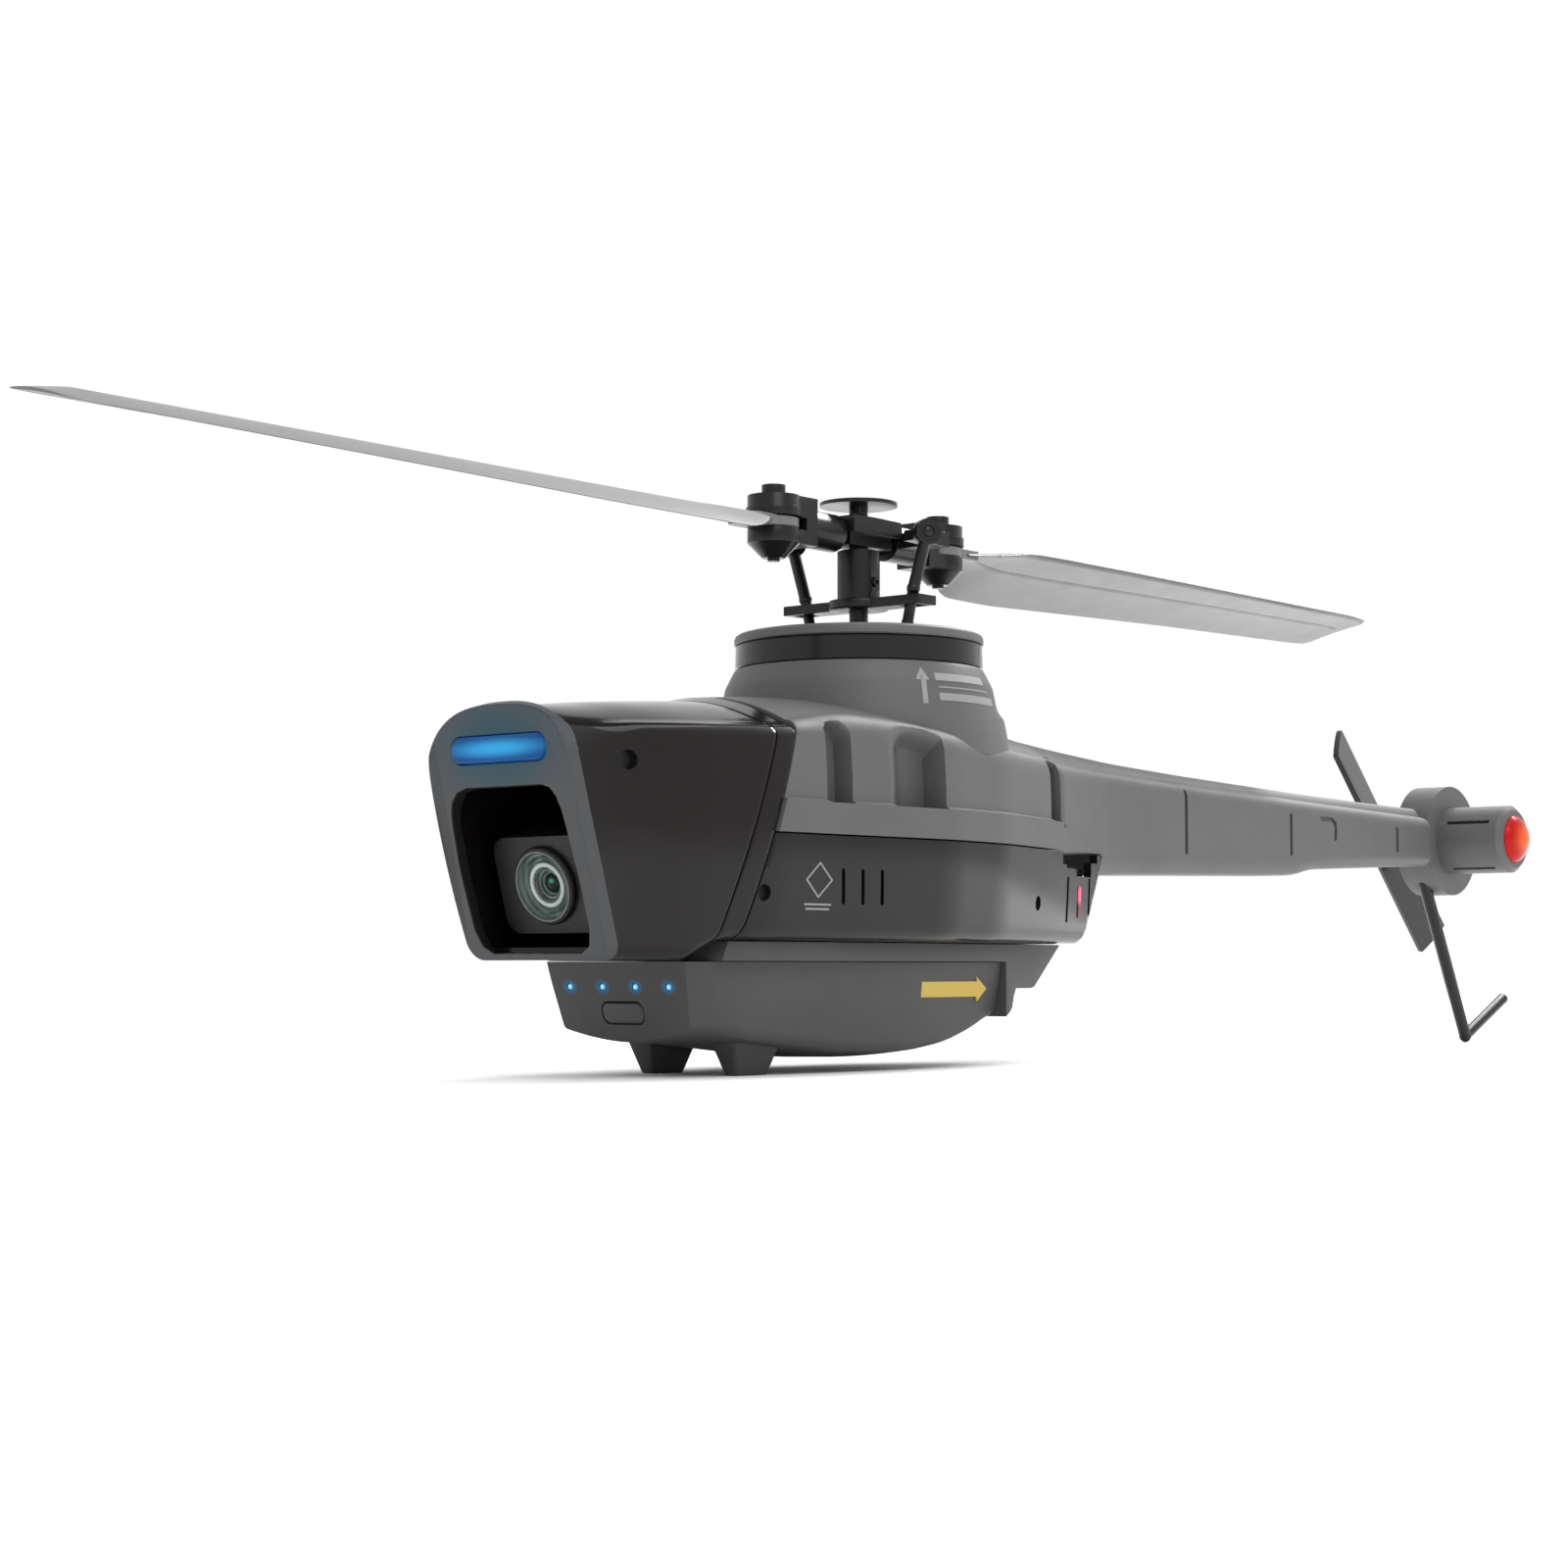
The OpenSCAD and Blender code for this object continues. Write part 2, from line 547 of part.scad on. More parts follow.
module grip_rear() color([0.08, 0.08, 0.08]) in_place() rotate([0, 0, 180]) grip();

module blade_bolt() {
  post(bolt_at, 0, 73.9, 75.3, 1.55);
  post(bolt_at, 0, 65.4, 73.95, bolt_r);
}
module blade_bolt_front() color([0.1, 0.1, 0.1]) in_place() blade_bolt();
module blade_bolt_rear() color([0.1, 0.1, 0.1]) in_place() rotate([0, 0, 180]) blade_bolt();

// Blade section at span r: thin cambered aerofoil, leading edge on the starboard side
blade_le = [[21.5, 2], [25, 3.8], [34, 5], [60, 5], [rotor_r - 6, 4.6], [rotor_r, 3]];
blade_chord = [[21.5, 4], [25, 9], [34, root_chord], [60, root_chord - 1.4],
  [rotor_r - 6, tip_chord], [rotor_r - 2, tip_chord - 1.5], [rotor_r, tip_chord - 4.5]];
blade_twist = [[23, 0], [34, root_pitch], [rotor_r, tip_pitch]];
blade_thick = [[21.5, 0.72], [32, 1.25], [rotor_r, 1.1]];
foil = [[0, 0.1], [0.05, 0.5], [0.25, 1], [0.55, 0.9], [0.8, 0.55], [1, 0.3],
  [1, -0.1], [0.6, 0.05], [0.25, -0.1], [0.05, -0.2]];
function blade_ring(r) = let (c = lookup(r, blade_chord), le = lookup(r, blade_le),
  a = lookup(r, blade_twist), t = lookup(r, blade_thick))
  [for (p = foil) let (y = le - p[0] * c, z = p[1] * t)
    [r, -(y * cos(a) - z * sin(a)), 70.2 + y * sin(a) + z * cos(a)]];
module blade() difference() {
  union() {
    post(bolt_at, 0, 69.65, 71.05, 3.3);
    box(bolt_at, 23.7, -2.6, 2.6, 69.65, 71.05);
    loft([for (r = [rotor_r, rotor_r - 2, rotor_r - 6, 110, 85, 60, 45, 34, 29, 25, 21.5])
      blade_ring(r)]);
  }
  post(bolt_at, 0, 60, 80, bolt_r + grip_run);
}
module blade_front() color([0.4, 0.4, 0.4]) in_place() blade();
module blade_rear() color([0.4, 0.4, 0.4]) in_place() rotate([0, 0, 180]) blade();

// Link from the horn ball down through the follower bar; it ends short of the swashplate ball
module link() {
  eye = [-1.2, horn_at, feather_z];
  waist = [0, 9.2, follower_z + 1.6];
  knee = [0, 8.2, 58.4];
  end = [0, 7.3, swash_z + 5.4];
  difference() {
    union() {
      translate(eye) rotate([0, 0, -29]) rotate([90, 0, 0]) cylinder(h = 1.5, r = 1.75, center = true);
      rod(eye + [0.15, -0.2, -1.35], waist, 0.8);
      rod(waist, knee, 0.74);
      rod(knee, end, 0.68);
      translate(waist) sphere(r = 0.9);
      translate(knee) sphere(r = 0.84);
    }
    translate(eye) sphere(r = 1.08);
    translate(eye) rotate([0, 0, -29]) rotate([90, 0, 0]) cylinder(h = 4, r = 0.8, center = true);
  }
}
module link_port() color([0.07, 0.07, 0.07]) in_place() link();
module link_starboard() color([0.07, 0.07, 0.07]) in_place() rotate([0, 0, 180]) link();

// ---- camera ----
cam_pivot = [52.5, 0, 24.6];
module at_camera() in_place() translate(cam_pivot) rotate([0, cam_down, 0]) children();
module camera_housing() color([0.13, 0.13, 0.13]) at_camera() difference() {
  intersection() {
    translate([-6.5, -cam_w / 2, -cam_h / 2]) cube([cam_d, cam_w, cam_h]);
    rotate([0, 90, 0]) translate([0, 0, -8]) linear_extrude(height = 20) union() {
      square([cam_h - 4, cam_w], center = true);
      square([cam_h, cam_w - 4], center = true);
      for (sx = [-1, 1]) for (sy = [-1, 1])
        translate([sx * (cam_h / 2 - 2), sy * (cam_w / 2 - 2)]) circle(r = 2);
    }
  }
  translate([2, 0, 0]) rotate([0, 90, 0]) cylinder(h = 8, r = lens_r - 0.35);
  rotate([90, 0, 0]) cylinder(h = 20, r = 1.05, center = true);
}
module lens_barrel() color([0.18, 0.22, 0.2]) at_camera() difference() {
  union() {
    translate([2, 0, 0]) rotate([0, 90, 0]) cylinder(h = 4.6, r = lens_r - 0.35);
    translate([6.5, 0, 0]) rotate([0, 90, 0]) cylinder(h = 0.7, r1 = lens_r, r2 = lens_r - 0.4);
  }
  translate([4, 0, 0]) rotate([0, 90, 0]) cylinder(h = 2.2, r = 2.3);
  translate([6, 0, 0]) rotate([0, 90, 0]) cylinder(h = 1.3, r1 = 2.3, r2 = 4);
}
module lens_glass() color([0.1, 0.25, 0.18]) at_camera() intersection() {
  translate([-0.2, 0, 0]) sphere(r = 6.2);
  translate([4.2, 0, 0]) rotate([0, 90, 0]) cylinder(h = 3, r = 2.26);
}
module camera_bracket() color([0.15, 0.15, 0.16]) in_place() {
  for (s = [-1, 1]) {
    box(34.5, 54.2, s > 0 ? 8.4 : -9.3, s > 0 ? 9.3 : -8.4, 22.6, 26.6);
    lateral(cam_pivot[0], cam_pivot[2], s > 0 ? 4.8 : -8.6, s > 0 ? 8.6 : -4.8, 1);
  }
  box(34.5, 36, -9.3, 9.3, 20, 30);
}

// ---- battery ----
module foot(s) hull() {
  translate([31 - 3, s * foot_y - 1, 0]) cube([6, 2, 0.4]);
  translate([31 - 4.9, s * foot_y - 2.4, 5.4]) cube([9.8, 4.8, 0.6]);
}
// Front end of the rail that hooks the battery to the tray
rail_front = 10;
module battery_case() color([0.28, 0.28, 0.28]) in_place() difference() {
  union() {
    intersection() {
      slab([[battery_rear, battery_top], [battery_front, battery_top], [battery_front - 2.1, 5.6],
        [battery_front - 3.4, 4.5], [30, 3.2], [18, 1.9], [5, 1.4], [-4, 2.6], [-11, 5],
        [battery_rear + 0.4, 7]], -20, 20);
      rotate([90, 0, 90]) translate([0, 0, -20]) linear_extrude(height = 80)
        polygon([[-battery_w, 14], [battery_w, 14], [battery_w, 12], [battery_w - 0.9, 5.2],
          [battery_w - 2.6, 3.4], [4, 1.2], [-4, 1.2], [-battery_w + 2.6, 3.4], [-battery_w + 0.9, 5.2],
          [-battery_w, 12]]);
      slab_plan();
    }
    for (s = [-1, 1]) foot(s);
    box(-13, rail_front, -3, 3, 13.4, 14.7);
    box(-13, rail_front, -4.5, 4.5, 14.6, 15.4);
  }
  box(-11.2, 41.2, -10.4, 10.4, 5.2, 12.1);
  for (y = [-6, -2, 2, 6]) contact(y);
  label();
  hull() for (s = [-1, 1]) axial(s * 2.05, 7.7, 40, 50, 1.4);
  for (y = [-8.1, -2.7, 2.7, 8.1]) axial(y, 10.85, 40, 50, 0.55);
}
// Plan outline of the battery, narrowed to the body's taper at the rear
module slab_plan() linear_extrude(height = 20) polygon([[battery_rear, -battery_w + 1.3],
  [5, -battery_w], [39, -battery_w], [battery_front - 1, -battery_w + 1.6], [50, -battery_w + 2.4],
  [50, battery_w - 2.4], [battery_front - 1, battery_w - 1.6], [39, battery_w], [5, battery_w],
  [battery_rear, battery_w - 1.3]]);
module contact(y) box(battery_rear - 0.15, -11.2, y - 0.7, y + 0.7, 8.4, 11);
// Arrow let into the sloping port side, pointing aft
module label() translate([5, battery_w, 12]) rotate([0, 0, 3.72]) rotate([-7.5, 0, 0])
  slab([[-1.2, -2.5], [-14.2, -2.5], [-14.2, -3.1], [-16.5, -1.6], [-14.2, -0.1], [-14.2, -0.7],
    [-1.2, -0.7]], -0.35, 0.03);

module battery_cell() color([0.75, 0.76, 0.8]) in_place()
  box(-11.2, 37.5, -10.1, 10.1, 5.2, 11.8);
module battery_lights() color([0.3, 0.75, 1]) in_place() for (y = [-8.1, -2.7, 2.7, 8.1])
  axial(y, 10.85, 41.2, battery_front - 0.65, 0.55);
module battery_label() color([0.85, 0.72, 0.2]) in_place() label();
module battery_contacts() color([0.85, 0.7, 0.35]) in_place() for (y = [-6, -2, 2, 6]) contact(y);
module power_button() color([0.22, 0.22, 0.22]) in_place() union() {
  intersection() {
    hull() for (s = [-1, 1]) axial(s * 2.05, 7.7, 41.6, 48, 1.3);
    slab([[41.6, 0], [45.2, 4], [46.2, 11], [41.6, 14]], -5, 5);
  }
  slab([[39.4, 6.2], [41, 6.2], [41, 9.2], [39.4, 9.2]], -4.2, 4.2);
  slab([[40.9, 7.2], [41.7, 7.2], [41.7, 8.2], [40.9, 8.2]], -1.5, 1.5);
}

upper_casing();
side_panel_left();
side_panel_right();
tail_boom();
belly_tray();
nose_hood();
hood_collar();
nose_bezel();
front_light_bar();
turret_window();
turret_ring();
side_light_pipes();
casing_screws();
tail_housing();
tail_lamp_lens();
tail_motor();
tail_skid();
tail_rotor_shaft();
tail_rotor();
main_frame();
shaft_bearings();
main_motor();
motor_pinion();
main_gear();
servo_pitch();
servo_roll();
servo_slider_pitch();
servo_slider_roll();
circuit_board();
swash_collar();
swash_gimbal();
swash_lower();
swash_upper();
main_shaft();
rotor_hub();
hub_screw();
follower_bar();
feathering_spindle();
head_cap();
grip_front();
grip_rear();
blade_bolt_front();
blade_bolt_rear();
blade_front();
blade_rear();
link_port();
link_starboard();
camera_housing();
lens_barrel();
lens_glass();
camera_bracket();
battery_case();
battery_cell();
battery_lights();
battery_label();
battery_contacts();
power_button();
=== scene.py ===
import math

import bmesh
import bpy
from mathutils import Matrix, Vector


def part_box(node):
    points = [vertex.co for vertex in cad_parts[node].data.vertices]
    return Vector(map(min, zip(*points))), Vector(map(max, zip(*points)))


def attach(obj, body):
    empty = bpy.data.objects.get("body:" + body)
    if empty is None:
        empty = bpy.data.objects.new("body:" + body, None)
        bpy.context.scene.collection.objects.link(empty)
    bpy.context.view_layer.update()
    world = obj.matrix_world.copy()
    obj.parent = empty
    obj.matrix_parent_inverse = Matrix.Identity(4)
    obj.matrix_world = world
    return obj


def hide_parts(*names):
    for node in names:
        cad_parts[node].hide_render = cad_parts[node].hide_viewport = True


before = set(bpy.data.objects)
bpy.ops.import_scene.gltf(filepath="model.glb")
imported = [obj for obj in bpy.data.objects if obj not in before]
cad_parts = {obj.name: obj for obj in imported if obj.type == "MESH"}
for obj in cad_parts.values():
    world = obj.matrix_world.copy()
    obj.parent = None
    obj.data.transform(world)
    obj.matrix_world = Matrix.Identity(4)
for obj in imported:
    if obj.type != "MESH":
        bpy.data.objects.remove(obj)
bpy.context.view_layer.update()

MM = 0.001
MAST_X = (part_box("main_shaft")[0][0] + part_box("main_shaft")[1][0]) / 2 / MM
RAIL_Z = 33.1
PANEL_TOP = 29.2
PANEL_BOTTOM = 16.4
ROTOR_R = 132.5
TAIL = (-163.0, 35.3)


# ---------------------------------------------------------------- small helpers
def lerp_line(x, line):
    """Value of a broken line of (x, value) pairs, x rising."""
    if x <= line[0][0]:
        return line[0][1]
    for (x0, v0), (x1, v1) in zip(line, line[1:]):
        if x <= x1:
            return v0 + (v1 - v0) * (x - x0) / (x1 - x0)
    return line[-1][1]


def smooth_line(x, line):
    """The same line with rounded corners."""
    steps = [-2.4, -1.2, 0.0, 1.2, 2.4]
    return sum(lerp_line(x + s, line) for s in steps) / len(steps)


def ease(x, low, high):
    """0 below low, 1 above high, smooth between."""
    t = min(max((x - low) / (high - low), 0.0), 1.0)
    return t * t * (3 - 2 * t)


def make(name, verts, faces, material, body, smooth=True, sharp=35):
    mesh = bpy.data.meshes.new(name)
    mesh.from_pydata([((x + MAST_X) * MM, y * MM, z * MM) for x, y, z in verts], [], faces)
    return finish_mesh(name, mesh, material, body, smooth, sharp)


def finish_mesh(name, mesh, material, body, smooth=True, sharp=35):
    work = bmesh.new()
    work.from_mesh(mesh)
    bmesh.ops.remove_doubles(work, verts=work.verts, dist=0.002 * MM)
    bmesh.ops.recalc_face_normals(work, faces=work.faces)
    work.to_mesh(mesh)
    work.free()
    for p in mesh.polygons:
        p.use_smooth = smooth
    mesh.set_sharp_from_angle(angle=math.radians(sharp))
    obj = bpy.data.objects.new(name, mesh)
    bpy.context.scene.collection.objects.link(obj)
    if material:
        mesh.materials.append(material)
    if body:
        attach(obj, body)
    return obj


def rows_to_faces(rows, columns, close_rows=False):
    """Quads over a grid of vertices stored row by row."""
    faces = []
    for j in range(rows - 1):
        for i in range(columns - 1 if not close_rows else columns):
            k = (i + 1) % columns
            faces.append((j * columns + i, (j + 1) * columns + i, (j + 1) * columns + k, j * columns + k))
    return faces


def bevel(obj, width, segments=3, angle=32):
    m = obj.modifiers.new("edges", "BEVEL")
    m.width = width * MM
    m.segments = segments
    m.limit_method = "ANGLE"
    m.angle_limit = math.radians(angle)
    m.harden_normals = False
    return obj


def thicken(obj, wall):
    m = obj.modifiers.new("wall", "SOLIDIFY")
    m.thickness = wall * MM
    m.offset = -1
    m.use_even_offset = False
    return obj


def plane_cut(mesh, point, normal, fill=False):
    """Keeps the side of the plane that the normal points away from. Point and normal in mast mm."""
    work = bmesh.new()
    work.from_mesh(mesh)
    geom = list(work.verts) + list(work.edges) + list(work.faces)
    p = Vector(((point[0] + MAST_X) * MM, point[1] * MM, point[2] * MM))
    cut = bmesh.ops.bisect_plane(
        work, geom=geom, dist=1e-7, plane_co=p, plane_no=Vector(normal), clear_outer=True
    )
    if fill:
        edges = [e for e in cut["geom_cut"] if isinstance(e, bmesh.types.BMEdge)]
        bmesh.ops.holes_fill(work, edges=edges, sides=0)
    work.to_mesh(mesh)
    work.free()


def bake(obj):
    """Turns the modifiers of a scratch object into its mesh."""
    bpy.context.view_layer.update()
    deps = bpy.context.evaluated_depsgraph_get()
    mesh = bpy.data.meshes.new_from_object(obj.evaluated_get(deps))
    obj.modifiers.clear()
    obj.data = mesh
    return obj


def carve(obj, tool, how="DIFFERENCE"):
    """Cuts a scratch solid out of obj and deletes it."""
    m = obj.modifiers.new("cut", "BOOLEAN")
    m.operation = how
    m.object = tool
    m.solver = "EXACT"
    bake(obj)
    bpy.data.objects.remove(tool, do_unlink=True)
    return obj


def carve_all(obj, tools):
    """Cuts several scratch solids that don't touch each other out of obj at once."""
    work = bmesh.new()
    for t in tools:
        work.from_mesh(t.data)
    work.to_mesh(tools[0].data)
    work.free()
    for t in tools[1:]:
        bpy.data.objects.remove(t, do_unlink=True)
    carve(obj, tools[0])
    obj.data.set_sharp_from_angle(angle=math.radians(30))


def solid(name, verts, faces):
    return make(name, verts, faces, None, None, smooth=False)


def prism(name, outline, low, high, axis="y", material=None, body=None, sharp=35):
    """Outline of (a, b) pairs swept along an axis: y takes (x, z), x takes (y, z), z takes (x, y)."""
    def place(a, b, t):
        if axis == "y":
            return (a, t, b)
        if axis == "x":
            return (t, a, b)
        return (a, b, t)

    n = len(outline)
    verts = [place(a, b, low) for a, b in outline] + [place(a, b, high) for a, b in outline]
    faces = [tuple(range(n)), tuple(range(2 * n - 1, n - 1, -1))]
    faces += [(i, (i + 1) % n, n + (i + 1) % n, n + i) for i in range(n)]
    return make(name, verts, faces, material, body, sharp=sharp)


def rounded_rect(a, b, half_a, half_b, r, steps=8):
    """Outline of a rounded rectangle round (a, b)."""
    pts = []
    for sa, sb, start in ((1, 1, 0), (-1, 1, 90), (-1, -1, 180), (1, -1, 270)):
        for i in range(steps + 1):
            t = math.radians(start + 90 * i / steps)
            pts.append((a + sa * (half_a - r) + r * math.cos(t), b + sb * (half_b - r) + r * math.sin(t)))
    return pts


def lathe(name, profile, centre, axis, material, body, steps=96, sharp=28, ends="caps"):
    """Profile of (radius, height) turned about an axis through centre, its ends capped, open or joined in a loop."""
    z = Vector(axis).normalized()
    x = z.orthogonal().normalized()
    y = z.cross(x)
    verts, faces = [], []
    for r, h in profile:
        for i in range(steps):
            t = 2 * math.pi * i / steps
            p = Vector(centre) + z * h + (x * math.cos(t) + y * math.sin(t)) * r
            verts.append(tuple(p))
    faces = rows_to_faces(len(profile), steps, True)
    if ends == "loop":
        last = (len(profile) - 1) * steps
        faces += [(last + i, i, (i + 1) % steps, last + (i + 1) % steps) for i in range(steps)]
    if ends == "caps" and profile[0][0] > 0.001:
        faces.append(tuple(range(steps)))
    if ends == "caps" and profile[-1][0] > 0.001:
        faces.append(tuple((len(profile) - 1) * steps + i for i in range(steps - 1, -1, -1)))
    return make(name, verts, faces, material, body, sharp=sharp)


def tube(name, points, radius, material, body, steps=24):
    """Round rod through points, its ends capped flat."""
    curve = bpy.data.curves.new(name, "CURVE")
    curve.dimensions = "3D"
    curve.bevel_depth = radius * MM
    curve.bevel_resolution = 6
    curve.use_fill_caps = True
    spline = curve.splines.new("BEZIER")
    spline.bezier_points.add(len(points) - 1)
    for b, p in zip(spline.bezier_points, points):
        b.co = Vector(((p[0] + MAST_X) * MM, p[1] * MM, p[2] * MM))
        b.handle_left_type = b.handle_right_type = "AUTO"
    spline.resolution_u = 12
    obj = bpy.data.objects.new(name + "_curve", curve)
    bpy.context.scene.collection.objects.link(obj)
    bpy.context.view_layer.update()
    mesh = bpy.data.meshes.new_from_object(obj.evaluated_get(bpy.context.evaluated_depsgraph_get()))
    bpy.data.objects.remove(obj, do_unlink=True)
    mesh.materials.clear()
    return finish_mesh(name, mesh, material, body)


# ---------------------------------------------------------------- materials
def shade(name):
    m = bpy.data.materials.new(name)
    m.use_nodes = True
    tree = m.node_tree
    return m, tree, tree.nodes["Principled BSDF"]


def node(tree, kind, **values):
    n = tree.nodes.new(kind)
    for k, v in values.items():
        if k in n.inputs:
            n.inputs[k].default_value = v
        else:
            setattr(n, k, v)
    return n


def plastic(name, colour, rough, grain=2200.0, bump=0.05, vary=0.12, coat=0.0, specular=0.4, tint=None):
    """Moulded plastic: fine spark-eroded grain, faint mottling and slightly uneven sheen."""
    m, tree, out = shade(name)
    link = tree.links.new
    at = node(tree, "ShaderNodeTexCoord")
    mottle = node(tree, "ShaderNodeTexNoise", Scale=90.0, Detail=4.0, Roughness=0.6)
    link(at.outputs["Object"], mottle.inputs["Vector"])
    ramp = node(tree, "ShaderNodeMapRange")
    ramp.inputs["To Min"].default_value = 1 - vary
    ramp.inputs["To Max"].default_value = 1 + vary
    link(mottle.outputs["Fac"], ramp.inputs["Value"])
    colour_mix = node(tree, "ShaderNodeVectorMath", operation="SCALE")
    colour_mix.inputs[0].default_value = colour
    link(ramp.outputs["Result"], colour_mix.inputs["Scale"])
    last = colour_mix.outputs["Vector"]
    if tint:
        last = tint(tree, at, last)
    link(last, out.inputs["Base Color"])
    sheen = node(tree, "ShaderNodeTexNoise", Scale=240.0, Detail=3.0)
    link(at.outputs["Object"], sheen.inputs["Vector"])
    spread = node(tree, "ShaderNodeMapRange")
    spread.inputs["To Min"].default_value = max(rough - 0.06, 0.03)
    spread.inputs["To Max"].default_value = rough + 0.06
    link(sheen.outputs["Fac"], spread.inputs["Value"])
    link(spread.outputs["Result"], out.inputs["Roughness"])
    dots = node(tree, "ShaderNodeTexNoise", Scale=grain, Detail=2.0)
    link(at.outputs["Object"], dots.inputs["Vector"])
    relief = node(tree, "ShaderNodeBump", Strength=bump, Distance=0.0002)
    link(dots.outputs["Fac"], relief.inputs["Height"])
    link(relief.outputs["Normal"], out.inputs["Normal"])
    out.inputs["Specular IOR Level"].default_value = specular
    out.inputs["Coat Weight"].default_value = coat
    out.inputs["Coat Roughness"].default_value = 0.08
    return m


def metal(name, colour, rough):
    """Turned metal with fine rings of tool marks."""
    m, tree, out = shade(name)
    link = tree.links.new
    at = node(tree, "ShaderNodeTexCoord")
    stretch = node(tree, "ShaderNodeMapping")
    stretch.inputs["Scale"].default_value = (400, 400, 9000)
    link(at.outputs["Object"], stretch.inputs["Vector"])
    marks = node(tree, "ShaderNodeTexNoise", Scale=1.0, Detail=3.0)
    link(stretch.outputs["Vector"], marks.inputs["Vector"])
    spread = node(tree, "ShaderNodeMapRange")
    spread.inputs["To Min"].default_value = rough - 0.08
    spread.inputs["To Max"].default_value = rough + 0.1
    link(marks.outputs["Fac"], spread.inputs["Value"])
    link(spread.outputs["Result"], out.inputs["Roughness"])
    relief = node(tree, "ShaderNodeBump", Strength=0.15, Distance=0.0001)
    link(marks.outputs["Fac"], relief.inputs["Height"])
    link(relief.outputs["Normal"], out.inputs["Normal"])
    out.inputs["Base Color"].default_value = (*colour, 1)
    out.inputs["Metallic"].default_value = 1.0
    return m


def glow(name, edge, core, power, centre, half, soft):
    """Lit light guide, also used for the painted glint on the lens pupil: bright core that fades to a deeper edge, by
    distance from a line along Y.
    """
    m, tree, out = shade(name)
    link = tree.links.new
    at = node(tree, "ShaderNodeTexCoord")
    shift = node(tree, "ShaderNodeVectorMath", operation="SUBTRACT")
    link(at.outputs["Object"], shift.inputs[0])
    shift.inputs[1].default_value = [v * MM for v in (centre[0] + MAST_X, centre[1], centre[2])]
    fit = node(tree, "ShaderNodeVectorMath", operation="MULTIPLY")
    link(shift.outputs["Vector"], fit.inputs[0])
    fit.inputs[1].default_value = [1 / (h * MM) for h in half]
    size = node(tree, "ShaderNodeVectorMath", operation="LENGTH")
    link(fit.outputs["Vector"], size.inputs[0])
    fall = node(tree, "ShaderNodeMapRange", interpolation_type="SMOOTHSTEP")
    fall.inputs["From Min"].default_value = 1.0
    fall.inputs["From Max"].default_value = soft
    link(size.outputs["Value"], fall.inputs["Value"])
    grain = node(tree, "ShaderNodeTexNoise", Scale=900.0, Detail=2.0)
    link(at.outputs["Object"], grain.inputs["Vector"])
    mix = node(tree, "ShaderNodeMix", data_type="RGBA")
    link(fall.outputs["Result"], mix.inputs["Factor"])
    mix.inputs["A"].default_value = (*edge, 1)
    mix.inputs["B"].default_value = (*core, 1)
    link(mix.outputs["Result"], out.inputs["Emission Color"])
    relief = node(tree, "ShaderNodeBump", Strength=0.05, Distance=0.0001)
    link(grain.outputs["Fac"], relief.inputs["Height"])
    link(relief.outputs["Normal"], out.inputs["Normal"])
    out.inputs["Specular IOR Level"].default_value = 0.15
    out.inputs["Base Color"].default_value = (*[0.1 * c for c in edge], 1)
    out.inputs["Emission Strength"].default_value = power
    out.inputs["Roughness"].default_value = 0.25
    return m


def light_tint(tree, at, last):
    """Teal cast that the front light bar throws on the bezel."""
    link = tree.links.new
    shift = node(tree, "ShaderNodeVectorMath", operation="SUBTRACT")
    link(at.outputs["Object"], shift.inputs[0])
    shift.inputs[1].default_value = [v * MM for v in (67 + MAST_X, 0, 38.4)]
    fit = node(tree, "ShaderNodeVectorMath", operation="MULTIPLY")
    link(shift.outputs["Vector"], fit.inputs[0])
    fit.inputs[1].default_value = (0, 1 / (13 * MM), 1 / (7.5 * MM))
    size = node(tree, "ShaderNodeVectorMath", operation="LENGTH")
    link(fit.outputs["Vector"], size.inputs[0])
    fall = node(tree, "ShaderNodeMapRange", interpolation_type="SMOOTHSTEP")
    fall.inputs["From Min"].default_value = 1.0
    fall.inputs["From Max"].default_value = 0.25
    fall.inputs["To Max"].default_value = 0.9
    link(size.outputs["Value"], fall.inputs["Value"])
    mix = node(tree, "ShaderNodeMix", data_type="RGBA")
    link(fall.outputs["Result"], mix.inputs["Factor"])
    link(last, mix.inputs["A"])
    mix.inputs["B"].default_value = (0.007, 0.045, 0.066, 1)
    return mix.outputs["Result"]


def led_tint(tree, at, last):
    """Blue spill round the four battery lights."""
    link = tree.links.new
    total = None
    for y in (-8.1, -2.7, 2.7, 8.1):
        shift = node(tree, "ShaderNodeVectorMath", operation="SUBTRACT")
        link(at.outputs["Object"], shift.inputs[0])
        shift.inputs[1].default_value = [v * MM for v in (46.5 + MAST_X, y, 10.85)]
        fit = node(tree, "ShaderNodeVectorMath", operation="MULTIPLY")
        link(shift.outputs["Vector"], fit.inputs[0])
        fit.inputs[1].default_value = (1 / (4 * MM), 1 / (1.5 * MM), 1 / (1.1 * MM))
        size = node(tree, "ShaderNodeVectorMath", operation="LENGTH")
        link(fit.outputs["Vector"], size.inputs[0])
        fall = node(tree, "ShaderNodeMapRange", interpolation_type="SMOOTHSTEP")
        fall.inputs["From Min"].default_value = 1.0
        fall.inputs["From Max"].default_value = 0.2
        link(size.outputs["Value"], fall.inputs["Value"])
        if total is None:
            total = fall.outputs["Result"]
        else:
            add = node(tree, "ShaderNodeMath", operation="ADD")
            link(total, add.inputs[0])
            link(fall.outputs["Result"], add.inputs[1])
            total = add.outputs["Value"]
    mix = node(tree, "ShaderNodeMix", data_type="RGBA")
    link(total, mix.inputs["Factor"])
    link(last, mix.inputs["A"])
    mix.inputs["B"].default_value = (0.01, 0.13, 0.28, 1)
    return mix.outputs["Result"]


